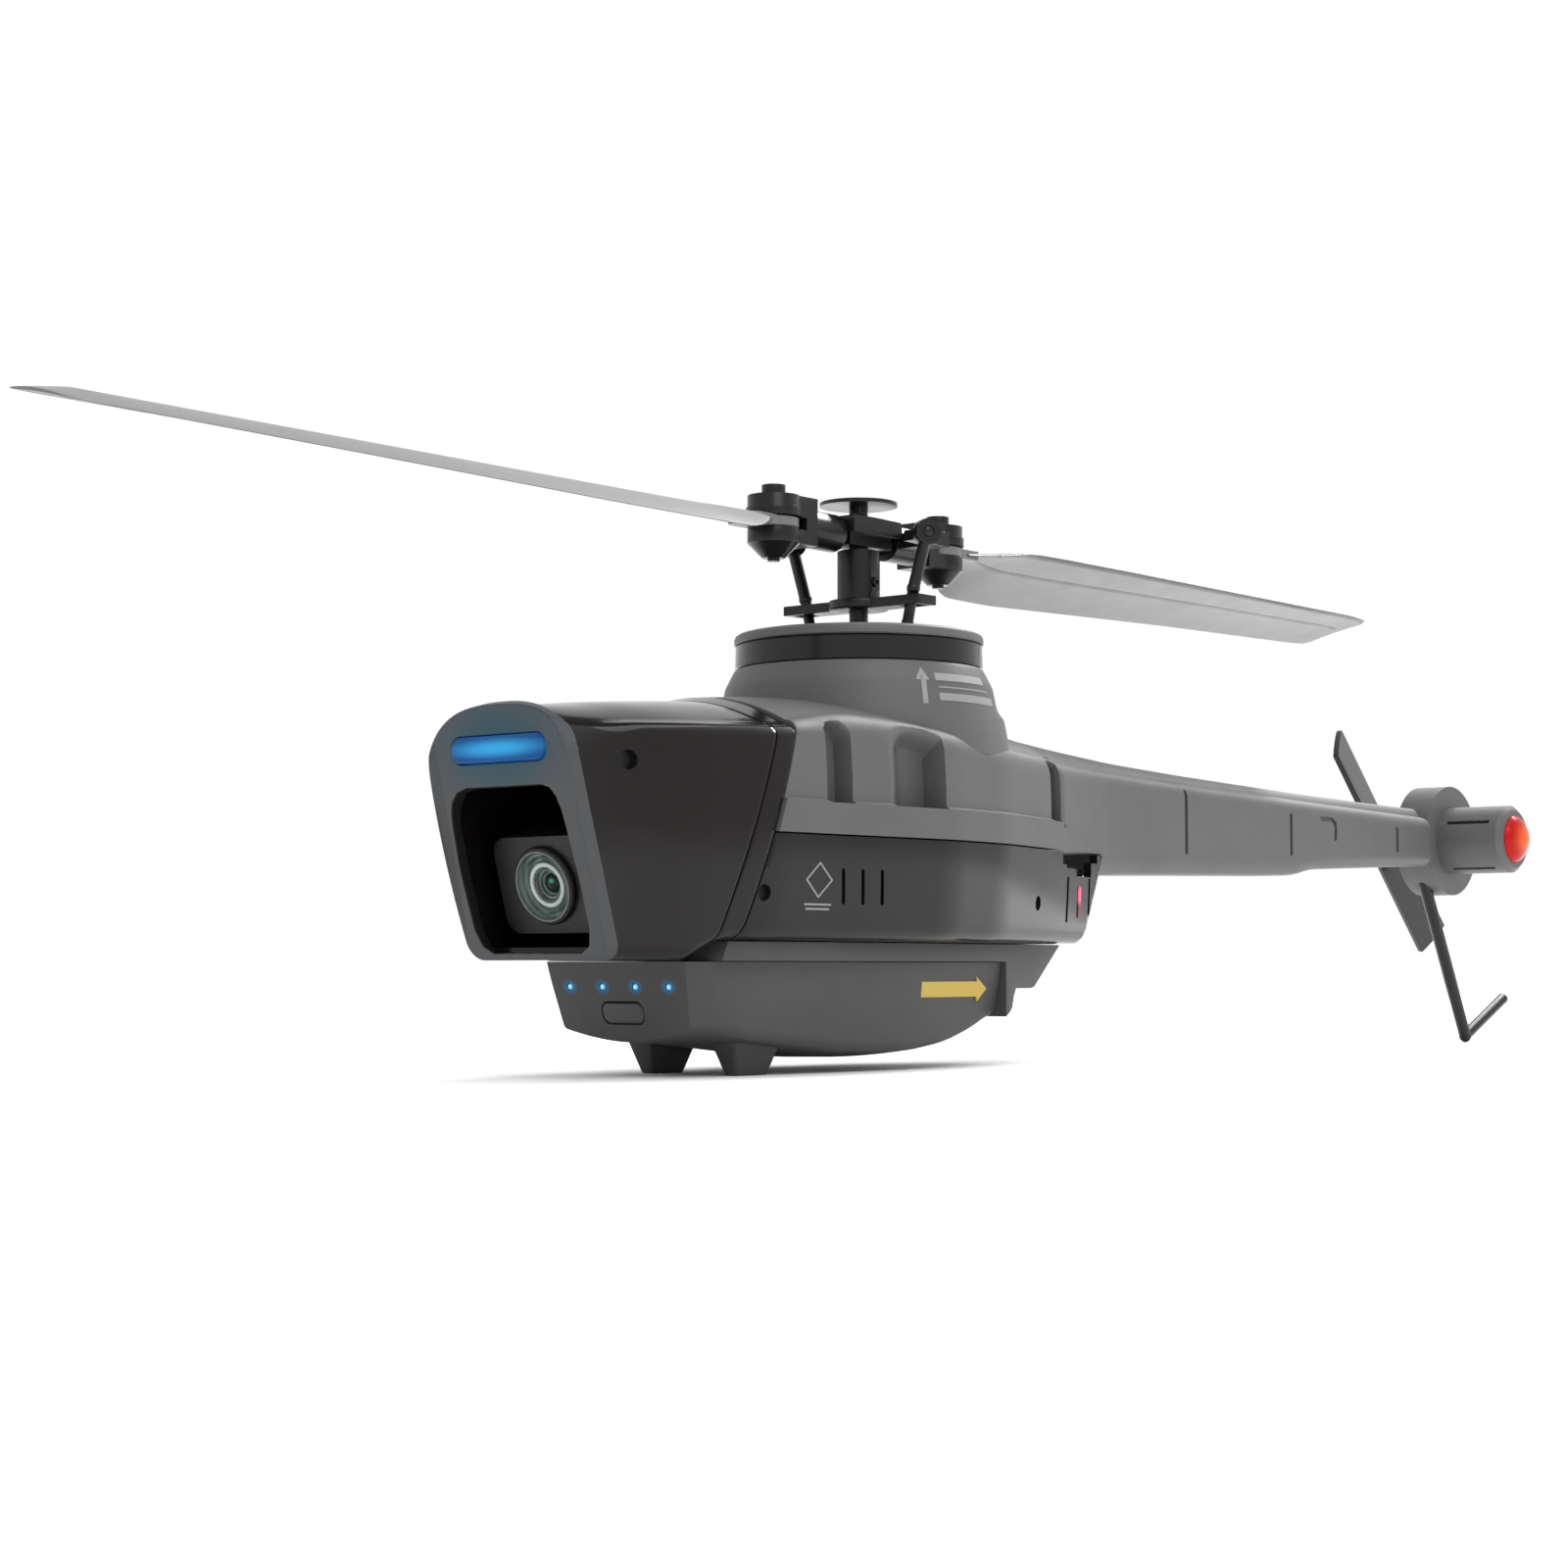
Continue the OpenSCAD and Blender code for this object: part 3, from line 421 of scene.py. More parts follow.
GREY = plastic("casing_grey", (0.078, 0.078, 0.079), 0.5, specular=0.3)
BATTERY = plastic("battery_grey", (0.045, 0.045, 0.046), 0.5, specular=0.25, tint=led_tint)
BEZEL = plastic("bezel_grey", (0.047, 0.049, 0.052), 0.45, specular=0.25, tint=light_tint)
PANEL = plastic("panel_gloss", (0.0075, 0.0064, 0.0058), 0.13, grain=900, bump=0.01, vary=0.08, specular=0.2)
BLACK = plastic("gloss_black", (0.006, 0.006, 0.007), 0.16, bump=0.01, specular=0.3)
NYLON = plastic("head_nylon", (0.0045, 0.0045, 0.0047), 0.3, specular=0.28)
BLADE = plastic("blade_grey", (0.115, 0.115, 0.117), 0.38, grain=1500, bump=0.03, specular=0.45)
# Near-black for the inside parts, partly painted shade: screws, frame and other inner parts are darkened so that
# holes, slots and the bezel's opening read dark.
INNER_BLACK_AND_SHADE = plastic("inner_black_and_painted_shade", (0.006, 0.006, 0.0062), 0.6, specular=0.2)
CAMERA = plastic("camera_black", (0.0075, 0.0075, 0.008), 0.42, specular=0.25)
BUTTON = plastic("button_grey", (0.045, 0.045, 0.046), 0.4, specular=0.3)
RIM = plastic("lens_rim_grey", (0.075, 0.095, 0.088), 0.25, specular=0.5)
RIM_PALE = plastic("lens_ring_pale", (0.42, 0.46, 0.43), 0.3, specular=0.5)


def painted_reflection_rings(tree, at, last):
    """Painted reflection: faint green and grey rings on the lens, in place of the reflections a coated lens shows."""
    link = tree.links.new
    shift = node(tree, "ShaderNodeVectorMath", operation="SUBTRACT")
    link(at.outputs["Object"], shift.inputs[0])
    shift.inputs[1].default_value = [v * MM for v in (59.3 + MAST_X, 0.6, 22.9)]
    size = node(tree, "ShaderNodeVectorMath", operation="LENGTH")
    link(shift.outputs["Vector"], size.inputs[0])
    wave = node(tree, "ShaderNodeMath", operation="MULTIPLY")
    wave.inputs[1].default_value = 9000.0
    link(size.outputs["Value"], wave.inputs[0])
    ring = node(tree, "ShaderNodeMath", operation="SINE")
    link(wave.outputs["Value"], ring.inputs[0])
    share = node(tree, "ShaderNodeMapRange")
    share.inputs["From Min"].default_value = -1.0
    link(ring.outputs["Value"], share.inputs["Value"])
    mix = node(tree, "ShaderNodeMix", data_type="RGBA")
    link(share.outputs["Result"], mix.inputs["Factor"])
    link(last, mix.inputs["A"])
    mix.inputs["B"].default_value = (0.045, 0.085, 0.072, 1)
    return mix.outputs["Result"]


# Dark green lens with painted reflection rings mixed into its colour.
LENS_PAINTED_RINGS = plastic("lens_green_painted_reflections", (0.012, 0.022, 0.019), 0.12, bump=0.0, specular=0.5, tint=painted_reflection_rings)
# Painted glint: the lens pupil glows with a green core though it is no lamp.
PUPIL_PAINTED_GLINT = glow("lens_pupil_painted_glint", (0.004, 0.008, 0.007), (0.05, 0.30, 0.16), 1.0, (58.7, 0.35, 23.3), (0.9, 0.55, 0.45), 0.2)
STEEL = metal("turned_steel", (0.5, 0.5, 0.52), 0.28)
BRASS = metal("turned_brass", (0.75, 0.55, 0.24), 0.3)
YELLOW = plastic("label_yellow", (0.42, 0.29, 0.03), 0.45, vary=0.06)
PRINT = plastic("print_grey", (0.2, 0.2, 0.2), 0.5, vary=0.1)
LIGHT = glow("light_bar_blue", (0.003, 0.06, 0.22), (0.03, 0.36, 0.72), 1.0, (67, 0, 38.4), (9, 10.5, 1.5), 0.1)
LED = [glow("led_blue_" + str(i), (0.01, 0.1, 0.3), (0.3, 0.75, 1.0), 1.3, (46, y, 10.85), (4, 0.5, 0.45), 0.2)
       for i, y in enumerate((-8.1, -2.7, 2.7, 8.1))]
LAMP = glow("lamp_red", (0.5, 0.004, 0.004), (1.0, 0.16, 0.03), 0.95, (TAIL[0], 17, TAIL[1]), (3.6, 5, 3.6), 0.15)
PIPE = [glow("pipe_red_" + str(i), (0.12, 0.012, 0.02), (0.9, 0.12, 0.22), 1.1, (-36.6, y, 23.3), (4, 4, 1.7), 0.3)
        for i, y in enumerate((-10, 10))]


# ---------------------------------------------------------------- fuselage surface
PLAN = [(-160, 3.6), (-115, 4.4), (-80, 5.0), (-58, 5.7), (-50, 6.9), (-41, 9.2), (-24, 14.2), (-7, 19.0),
        (6, 20.6), (20, 19.7), (28, 19.1), (39, 18.5), (50, 16.0), (58, 13.0), (62, 11.9), (70, 11.2)]
ROOF = [(-160, 40.6), (-148, 40.7), (-115, 41.4), (-78, 42.6), (-59, 43.4), (-41.6, 44.6), (-32.6, 45.3),
        (-19, 46.2), (0, 47.2), (21, 47.4), (25, 47.3), (38, 46.3), (48.6, 45.3), (58.7, 44.2), (67.5, 43.1)]
SHOULDER = [(-160, 38.9), (-115, 40.0), (-73, 41.2), (-52, 41.8), (-32, 41.8), (-25, 42.1), (-15, 42.1), (-4.6, 42.6),
            (8.4, 43.6), (17.7, 44.4), (26, 44.4), (34, 43.0), (42, 42.4)]
HOOD_SHOULDER = [(28, 42.8), (42, 42.2), (58, 41.6), (66, 40.9)]
FLOOR = [(40.5, PANEL_BOTTOM), (46.5, 14.0)]
LEAN = [(34, 0), (41.9, -0.327), (64.6, 0.26)]
# rear end, front end, depth, length of the front ramp, height of the arched top, its rise and its softness
GROOVES = [(25.5, 30.0, 2.8, 0.15, 43.3, 1.5, 1.3), (8.0, 18.8, 3.6, 6.5, 43.6, 1.2, 3.2),
           (-28.3, -24.4, 1.6, 0.15, 41.6, 0.6, 0.8)]


def half_width(x):
    return smooth_line(x, PLAN)


def side_fall(z):
    if z > RAIL_Z:
        return 1 - 0.03 * ((z - RAIL_Z) / 10) ** 2
    return 1 - 0.07 * ((RAIL_Z - z) / 17) ** 2


def seam_x(z):
    return 41.9 - 0.327 * (z - 30)


def face_x(z):
    return 67.5 - 0.2436 * max(38 - z, 0) - 0.00271 * max(38 - z, 0) ** 2


def groove(x, z):
    """Depth of the scoops between the side pads."""
    depth = 0.0
    for rear, front, deep, ramp, top, rise, soft in GROOVES:
        if rear <= x <= front:
            arch = top - rise * abs((2 * x - rear - front) / (front - rear)) ** 3
            depth = deep * ease(front - x, 0, ramp) * ease(arch - z, 0, soft)
    return depth * ease(z, RAIL_Z - 0.05, RAIL_Z + 0.05)


def section(x, hood=False):
    """Points (share of the half-width, z, on the side wall) down the port side of one section."""
    w = half_width(x)
    roof = smooth_line(x, ROOF)
    shoulder = smooth_line(x, HOOD_SHOULDER if hood else SHOULDER)
    floor = lerp_line(x, FLOOR)
    round_y = min(2.3, w * 0.5)
    round_z = 1.9 if hood else 3.1 - 1.2 * ease(x, 27, 35)
    low_r = 2.2
    pts = [((w - round_y) / w * i / 16, roof - (roof - shoulder) * (i / 16) ** 2, 0) for i in range(16)]
    for i in range(13):
        a = math.radians(90 - 90 * i / 12)
        pts.append(((w - round_y + round_y * math.cos(a)) / w, shoulder - round_z + round_z * math.sin(a), 1))
    full = ease(x, 56, 65) if hood else 0
    for i, (u, z, side) in enumerate(pts):
        a = math.radians(90 - 90 * i / 28)
        arch_u, arch_z = max(math.cos(a), 0) ** (2 / 2.9), 34 + (roof - 34) * max(math.sin(a), 0) ** (2 / 2.9)
        pts[i] = (u + (arch_u - u) * full, z + (arch_z - z) * full, side)
    top = pts[-1][1] - 0.1
    levels = [top + (RAIL_Z + 0.05 - top) * i / 26 for i in range(27)]
    levels += [RAIL_Z, 32.9, 32, 31, 30, 29.4, PANEL_TOP, PANEL_TOP - 0.1, 28]
    levels += [28 + (floor + low_r - 28) * i / 10 for i in range(1, 11)]
    pts += [(1.0, z, 1) for z in levels]
    for i in range(1, 8):
        a = math.radians(-90 * i / 7)
        pts.append(((w - low_r + low_r * math.cos(a)) / w, floor + low_r + low_r * math.sin(a), 0))
    pts += [((w - low_r) / w * (1 - i / 4), floor, 0) for i in range(1, 5)]
    return pts


def body_grid(name, stations, hood=False, grooves=False, strip=False):
    """Open skin of the body through the stations, both sides."""
    verts = []
    columns = 0
    for x in stations:
        lean = lerp_line(x, LEAN)
        port = []
        for u, z, side in section(x, hood):
            px = x + lean * (z - 30)
            y = u * half_width(px) * side_fall(z)
            if strip and side and PANEL_TOP - 0.05 <= z <= RAIL_Z + 0.05:
                y += 0.55 * ease(px, -45.2, -44.9)
            if grooves and u > 0.8 and z > RAIL_Z:
                y -= groove(px, z)
            port.append((px, y, z))
        line = port + [(a, -b, c) for a, b, c in reversed(port[1:-1])]
        columns = len(line)
        verts += line
    mesh = bpy.data.meshes.new(name)
    mesh.from_pydata([((a + MAST_X) * MM, b * MM, c * MM) for a, b, c in verts], [],
                     rows_to_faces(len(stations), columns, True))
    return mesh


def stations_between(low, high, step, extra=()):
    n = max(int(round((high - low) / step)), 1)
    xs = [high - (high - low) * i / n for i in range(n + 1)]
    xs += [e for e in extra if low < e < high]
    return sorted(set(round(x, 3) for x in xs), reverse=True)


SEAM_NORMAL = Vector((1, 0, 0.327)).normalized()


def seam(offset):
    """Point on the slanted seam plane between hood and casing, moved aft by offset."""
    return (seam_x(30) - offset, 0, 30)


EDGES = []
for rear, front, deep, ramp, top, rise, soft in GROOVES:
    EDGES += [rear - 0.05, rear, front, front + 0.02] + [rear + (front - rear) * i / 14 for i in range(1, 14)]
BODY_XS = stations_between(-52, 52, 0.8, EDGES)
HOOD_XS = stations_between(34, 66.6, 0.8)


def skin_piece(name, mesh, cuts, material, node_name, wall=1.5, edge=0.22):
    for point, normal in cuts:
        plane_cut(mesh, point, normal)
    obj = finish_mesh(name, mesh, material, "airframe", sharp=28)
    thicken(obj, wall)
    bevel(obj, edge, 2, 40)
    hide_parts(node_name)
    return obj


# upper casing: everything above the panels, between collar and boom
casing = skin_piece("upper_casing_shell", body_grid("casing", BODY_XS, grooves=True, strip=True), [
    (seam(3.25), SEAM_NORMAL), ((-28.35, 0, 0), (-1, 0, 0)), ((0, 0, PANEL_TOP + 0.1), (0, 0, -1))],
    GREY, "upper_casing", wall=1.2, edge=0.15)
# dark side panels
for side, label in ((1, "left"), (-1, "right")):
    panel = skin_piece("side_panel_" + label + "_shell", body_grid("panel", BODY_XS), [
        (seam(3.25), SEAM_NORMAL), ((0, 0, PANEL_TOP - 0.08), (0, 0, 1)),
        ((-46.2, 0, PANEL_TOP), (-0.86, 0, -0.5)), ((0, side * 0.03, 0), (0, -side, 0))],
        PANEL, "side_panel_" + label, wall=1.2, edge=0.25)
collar = skin_piece("hood_collar_shell", body_grid("collar", stations_between(30, 52, 0.6), hood=True), [
    (seam(0.12), SEAM_NORMAL), (seam(3.0), -SEAM_NORMAL)], PANEL, "hood_collar", edge=0.2)

def on_side(x, z):
    return half_width(x) * side_fall(z)


def side_prism(name, outline, deep, out, side, material=None, body=None):
    """Outline of (x, z) on the body's side, from deep under the skin to out above it."""
    n = len(outline)
    verts = [(x, side * (on_side(x, z) - deep), z) for x, z in outline]
    verts += [(x, side * (on_side(x, z) + out), z) for x, z in outline]
    faces = [tuple(range(n)), tuple(range(2 * n - 1, n - 1, -1))]
    faces += [(i, (i + 1) % n, n + (i + 1) % n, n + i) for i in range(n)]
    return make(name, verts, faces, material, body)


def rect(x0, x1, z0, z1):
    return [(x0, z0), (x1, z0), (x1, z1), (x0, z1)]


def screw_hole(x, z, r, side):
    return lathe("hole", [(r, 6), (r, 26)], (x, 0, z), (0, side, 0), None, None, 32)


def box_solid(name, x0, x1, y0, y1, z0, z1):
    return solid(name, [(x, y, z) for x in (x0, x1) for y in (y0, y1) for z in (z0, z1)],
                 [(0, 1, 3, 2), (4, 6, 7, 5), (0, 4, 5, 1), (2, 3, 7, 6), (0, 2, 6, 4), (1, 5, 7, 3)])


for side, label in ((1, "left"), (-1, "right")):
    panel = bpy.data.objects["side_panel_" + label + "_shell"]
    bake(panel)
    tools = [screw_hole(40.2, 22, 1.0, side), screw_hole(-20, 21.8, 1.0, side)]
    for x in (19.6, 23.1, 26.6):
        slot = [(px + 0.1 * (pz - 23), pz) for px, pz in rounded_rect(x, 23, 0.3, 2.2, 0.28, 4)]
        tools.append(side_prism("vent", slot, 0.8, 1, side))
    tools.append(side_prism("latch_top", [(-43.9, 27.9), (-41.4, 27.9), (-41.4, 25.9), (-31.0, 25.9), (-31.0, 27.4),
                                          (-29.4, 27.4), (-29.4, 30), (-43.9, 30)], 2.6, 1.5, side))
    tools.append(side_prism("latch_front", rect(-32.1, -31.3, 19.4, 25.7), 2.6, 1, side))
    tools.append(side_prism("latch_rear", rect(-41.1, -40.4, 20.6, 25.7), 2.6, 1, side))
    carve_all(panel, tools)
    tab = side_prism("latch_tab_" + label, rect(-40.6, -31.8, 25.4, 27.1), 2.2, -1.1, side, PANEL, "airframe")
    bevel(tab, 0.15, 2, 40)
    pipe = side_prism("side_light_pipe_" + label, rounded_rect(-36.6, 22.3, 0.55, 2.2, 0.35, 4), 1.6, 0.16, side,
                      PIPE[0 if side < 0 else 1], "airframe")
    bevel(pipe, 0.1, 2, 40)
    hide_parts("side_light_pipes")
    for i, (a, b) in enumerate((((31, 25.9), (33.4, 23.7)), ((33.4, 23.7), (31, 21.5)), ((31, 21.5), (28.6, 23.7)),
                                ((28.6, 23.7), (31, 25.9)))):
        inner = [(31 + (px - 31) * 0.87, 23.7 + (pz - 23.7) * 0.87) for px, pz in (b, a)]
        side_prism("panel_mark_%s_%d" % (label, i), [a, b] + inner, 0.2, 0.03, side, PRINT, "airframe")
    for i, (z, half) in enumerate(((20.75, 2.4), (20.2, 2.1))):
        side_prism("panel_bar_%s_%d" % (label, i), rect(31 - half, 31 + half, z - 0.11, z + 0.11), 0.2, 0.03, side,
                   PRINT, "airframe")

# ---------------------------------------------------------------- nose hood and bezel
BEZEL_T = 1.5


def curved_front(mesh, offset):
    """Bends the open front edge of a skin to the raked, slightly hollow nose face."""
    for v in mesh.vertices:
        x = v.co.x / MM - MAST_X
        z = v.co.z / MM
        flat = 64.6 + 0.26 * (z - 30)
        target = face_x(z) - offset
        share = ease(x, 50, flat)
        v.co.x += (target - flat) * share * MM


hood_mesh = body_grid("hood", stations_between(34, 64.6, 0.6), hood=True)
curved_front(hood_mesh, BEZEL_T + 0.12)
hood = skin_piece("nose_hood_shell", hood_mesh, [(seam(-0.12), -SEAM_NORMAL)], PANEL, "nose_hood", wall=1.5,
                  edge=0.3)
bake(hood)
carve_all(hood, [screw_hole(58.5, 37, 1.15, 1), screw_hole(58.5, 37, 1.15, -1)])

# the bezel is the same section, closed, with the opening and the light slot cut out
bezel_mesh = body_grid("bezel", stations_between(60.6, 64.6, 0.5), hood=True)
for v in bezel_mesh.vertices:
    x = v.co.x / MM - MAST_X
    z = v.co.z / MM
    back = lerp_line(60.6, LEAN) * (z - 30) + 60.6
    front = 64.6 + 0.26 * (z - 30)
    t = (x - back) / max(front - back, 0.01)
    v.co.x = (face_x(z) - BEZEL_T + BEZEL_T * t + MAST_X) * MM
work = bmesh.new()
work.from_mesh(bezel_mesh)
bmesh.ops.remove_doubles(work, verts=work.verts, dist=0.002 * MM)
bmesh.ops.holes_fill(work, edges=[e for e in work.edges if e.is_boundary], sides=0)
work.to_mesh(bezel_mesh)
work.free()
bezel = finish_mesh("nose_bezel_rim", bezel_mesh, BEZEL, None, sharp=28)
opening = [(9.1, 29.6), (8.9, 31.2), (8.4, 32.6), (7.5, 33.6), (6.2, 34.0), (-6.2, 34.0), (-7.5, 33.6), (-8.4, 32.6),
           (-8.9, 31.2), (-9.1, 29.6), (-9.45, 24.0), (-9.3, 17.6), (-8.6, 15.6), (-7.2, 14.85), (7.2, 14.85), (8.6, 15.6),
           (9.3, 17.6), (9.45, 24.0)]
carve(bezel, prism("opening", opening, 50, 80, "x"))
carve(bezel, prism("slot", rounded_rect(0, 38.4, 7.6, 1.62, 1.3), 50, 80, "x"))
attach(bezel, "airframe")
for p in bezel.data.polygons:
    p.use_smooth = True
bezel.data.set_sharp_from_angle(angle=math.radians(28))
bezel.data.materials.append(INNER_BLACK_AND_SHADE)
# Painted shade: the walls inside the opening take the near-black inner material instead of the bezel grey.
for p in bezel.data.polygons:
    x, y, z = p.center / MM
    if abs(y) < 9.6 and 14.5 < z < 34.2 and p.normal.x < 0.6:
        p.material_index = 1
bevel(bezel, 0.4, 3, 40)
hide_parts("nose_bezel")
light = prism("front_light_guide", rounded_rect(0, 38.4, 7.5, 1.52, 1.25), 64, 67.2, "x", LIGHT, "airframe")
bevel(light, 0.2, 3, 40)
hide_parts("front_light_bar")

# ---------------------------------------------------------------- turret
CONE = [(16.6, 52.35), (17.0, 51.6), (17.8, 50.0), (18.1, 48.5), (18.45, 46.8), (18.8, 45.2), (19.1, 43.6), (19.3, 41.8),
        (19.3, 40.5)]


def cone_r(z):
    return lerp_line(-z, [(-h, r) for r, h in CONE])


turret_profile = [(15.0, 52.4), (16.45, 52.5)] + [(cone_r(52.35 - i * 0.4), 52.35 - i * 0.4) for i in range(30)]
turret_profile += [(r - 1.4, z) for r, z in reversed(turret_profile[1:])]
cone = lathe("turret_cone", turret_profile, (0, 0, 0), (0, 0, 1), GREY, "airframe", 160, ends="loop")
for v in cone.data.vertices:
    x, y, z = v.co.x / MM - MAST_X, v.co.y / MM, v.co.z / MM
    aft = ease(-x / math.hypot(x, y), 0.25, 1.0)
    grow = 1 + 1.3 * aft * min(max((47.6 - z) / 1.5, 0), 1) ** 2 / math.hypot(x, y)
    v.co.x = (x * grow + MAST_X) * MM
    v.co.y = y * grow * MM
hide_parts("upper_casing")
def cone_mark(name, outline):
    """Printed mark on the cone: outline of (angle in degrees, height)."""
    pts = []
    for (a0, z0), (a1, z1) in zip(outline, outline[1:] + outline[:1]):
        n = max(int(abs(a1 - a0) / 2), 1)
        pts += [(a0 + (a1 - a0) * i / n, z0 + (z1 - z0) * i / n) for i in range(n)]
    verts = []
    for lift in (-0.25, 0.04):
        for a, z in pts:
            r = cone_r(z) + lift
            verts.append((r * math.cos(math.radians(a)), r * math.sin(math.radians(a)), z))
    n = len(pts)
    faces = [tuple(range(n)), tuple(range(2 * n - 1, n - 1, -1))]
    faces += [(i, (i + 1) % n, n + (i + 1) % n, n + i) for i in range(n)]
    return make(name, verts, faces, PRINT, "airframe")


def cone_bar(name, a0, a1, z0, z1):
    """Printed bar round the cone, as a curved strip."""
    n = max(int((a1 - a0) / 2), 2)
    verts = []
    for i in range(n + 1):
        a = math.radians(a0 + (a1 - a0) * i / n)
        for lift, z in ((-0.2, z0), (0.04, z0), (0.04, z1), (-0.2, z1)):
            r = cone_r(z) + lift
            verts.append((r * math.cos(a), r * math.sin(a), z))
    faces = rows_to_faces(n + 1, 4, True) + [(0, 1, 2, 3), (4 * n + 3, 4 * n + 2, 4 * n + 1, 4 * n)]
    return make(name, verts, faces, PRINT, "airframe")


cone_mark("turret_arrow_head", [(62.6, 49.9), (69.0, 49.9), (65.9, 51.6)])
cone_bar("turret_arrow_stem", 64.9, 67.3, 46.8, 49.95)
cone_bar("turret_bar_top", 72, 104, 49.9, 50.9)
cone_bar("turret_bar_line", 73, 107, 48.95, 49.15)
cone_bar("turret_bar_low", 73, 111, 47.3, 48.3)
window = lathe("turret_window_band", [(15.2, 52.55), (16.35, 52.55), (16.5, 52.7), (16.42, 55.6), (16.3, 55.78),
                                      (15.0, 55.78)], (0, 0, 0), (0, 0, 1), BLACK, "airframe", 160, ends="loop")
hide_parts("turret_window")
ring = lathe("turret_cap_ring", [(10.5, 55.85), (16.4, 55.85), (16.6, 56.0), (16.6, 56.6), (16.45, 56.95),
                                 (16.1, 57.2), (15.7, 57.3), (11.0, 57.3), (10.6, 57.1), (10.5, 56.8)],
             (0, 0, 0), (0, 0, 1), GREY, "airframe", 160, ends="loop")
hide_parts("turret_ring")

# ---------------------------------------------------------------- tail boom
KEEL = [(-160, 30.9), (-113, 29.0), (-108, 27.9), (-58, 26.8), (-50, 26.4)]
boom_xs = stations_between(-153.6, -28.2, 1.2)
verts = []
for x in boom_xs:
    w = half_width(x) - 0.8 * ease(x, -62, -34)
    roof = smooth_line(x, ROOF)
    shoulder = smooth_line(x, SHOULDER)
    keel = smooth_line(x, KEEL)
    rs = min(2.6, w * 0.55)
    rb = min(1.8, w * 0.5)
    port = []
    for i in range(10):
        t = i / 10
        port.append(((w - rs) * t, roof - (roof - shoulder) * t ** 2))
    for i in range(9):
        a = math.radians(90 - 90 * i / 8)
        port.append((w - rs + rs * math.cos(a), shoulder - rs + rs * math.sin(a)))
    for i in range(1, 13):
        z = shoulder - rs + (keel + rb - shoulder + rs) * i / 12
        port.append((w, z))
    for i in range(1, 7):
        a = math.radians(-90 * i / 6)
        port.append((w - rb + rb * math.cos(a), keel + rb + rb * math.sin(a)))
    for i in range(1, 4):
        port.append(((w - rb) * (1 - i / 3), keel))
    port = [(x, y * side_fall(z) if x > -50 else y * (1 - 0.00012 * (z - 35) ** 2), z) for y, z in port]
    verts += port + [(p[0], -p[1], p[2]) for p in reversed(port[1:-1])]
columns = len(verts) // len(boom_xs)
boom = make("tail_boom_shell", verts, rows_to_faces(len(boom_xs), columns, True), GREY, None, sharp=30)
work = bmesh.new()
work.from_mesh(boom.data)
bmesh.ops.holes_fill(work, edges=[e for e in work.edges if e.is_boundary], sides=0)
work.to_mesh(boom.data)
work.free()
carve(boom, prism("under_root", [(-20, 20), (-20, 29.4), (-46.6, 29.4), (-45.4, 20)], -20, 20))
carve(boom, lathe("drum_space", [(9.55, -12), (9.55, 12)], (TAIL[0], 0, TAIL[1]), (0, 1, 0), None, None))
for x, z0, z1 in ((-72.8, 30.2, 40.0), (-105, 30.9, 37.8), (-141.3, 32.6, 36.9)):
    for s in (1, -1):
        w = half_width(x)
        carve(boom, prism("mark", rounded_rect(x, (z0 + z1) / 2, 0.42, (z1 - z0) / 2, 0.4, 4), s * w - 0.6,
                          s * w + 0.5))
hook = [(-114.6, 37.6), (-118.6, 37.6), (-119.9, 36.9), (-120.2, 35.6), (-120.0, 33.9), (-119.2, 33.9), (-119.3, 35.5),
        (-119.1, 36.4), (-118.4, 36.9), (-114.6, 36.9)]
carve(boom, prism("hook", hook, half_width(-118) - 0.5, half_width(-118) + 1))
for p in boom.data.polygons:
    p.use_smooth = True
boom.data.set_sharp_from_angle(angle=math.radians(30))
bevel(boom, 0.12, 2, 45)
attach(boom, "airframe")
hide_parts("tail_boom")

# ---------------------------------------------------------------- battery
SIDE_W = [(-15.1, 12.2), (5, 13.5), (38, 13.5), (42, 13.3), (46, 12.0), (48, 10.5)]
BELLY = [(-15.1, 6.2), (-11, 4.4), (-4, 2.5), (5, 1.5), (18, 1.8), (30, 3.0), (42, 4.0), (48, 4.2)]


BATTERY_TOP = 13.88


def battery_section(x):
    w = smooth_line(x, SIDE_W)
    low = smooth_line(x, BELLY)
    front = ease(x, 36, 46)
    rise = 0.9 + 0.5 * front
    r = 1.5 - 0.6 * front
    pts = []
    for i in range(8):
        pts.append((w - 0.9 * (i / 8) ** 1.3, BATTERY_TOP - (BATTERY_TOP - low - rise - r) * i / 8))
    w2 = w - 0.9
    for i in range(9):
        a = math.radians(-80 * i / 8)
        pts.append((w2 - r + r * math.cos(a), low + rise + r + r * math.sin(a)))
    last = pts[-1]
    for i in range(1, 13):
        t = i / 12
        pts.append((last[0] * (1 - t), last[1] + (low - last[1]) * (1 - (1 - t) ** 1.7)))
    return pts


battery_xs = stations_between(-15, 47.2, 0.8)
verts = []
for x in battery_xs:
    pts = battery_section(x)
    full = [(y, z) for y, z in pts] + [(-y, z) for y, z in reversed(pts[:-1])]
    for y, z in full:
        rake = 0.266 * (z - 13.5) * ease(x, 30, 47.2)
        verts.append((x + rake, y, z))
columns = len(verts) // len(battery_xs)
battery = make("battery_case_body", verts, rows_to_faces(len(battery_xs), columns, True), BATTERY, None, sharp=30)
work = bmesh.new()
work.from_mesh(battery.data)
bmesh.ops.holes_fill(work, edges=[e for e in work.edges if e.is_boundary], sides=0)
bmesh.ops.recalc_face_normals(work, faces=work.faces)
work.to_mesh(battery.data)
work.free()
carve(battery, prism("button_pocket", rounded_rect(0, 7.7, 3.5, 1.4, 1.2), 43.6, 52, "x"))
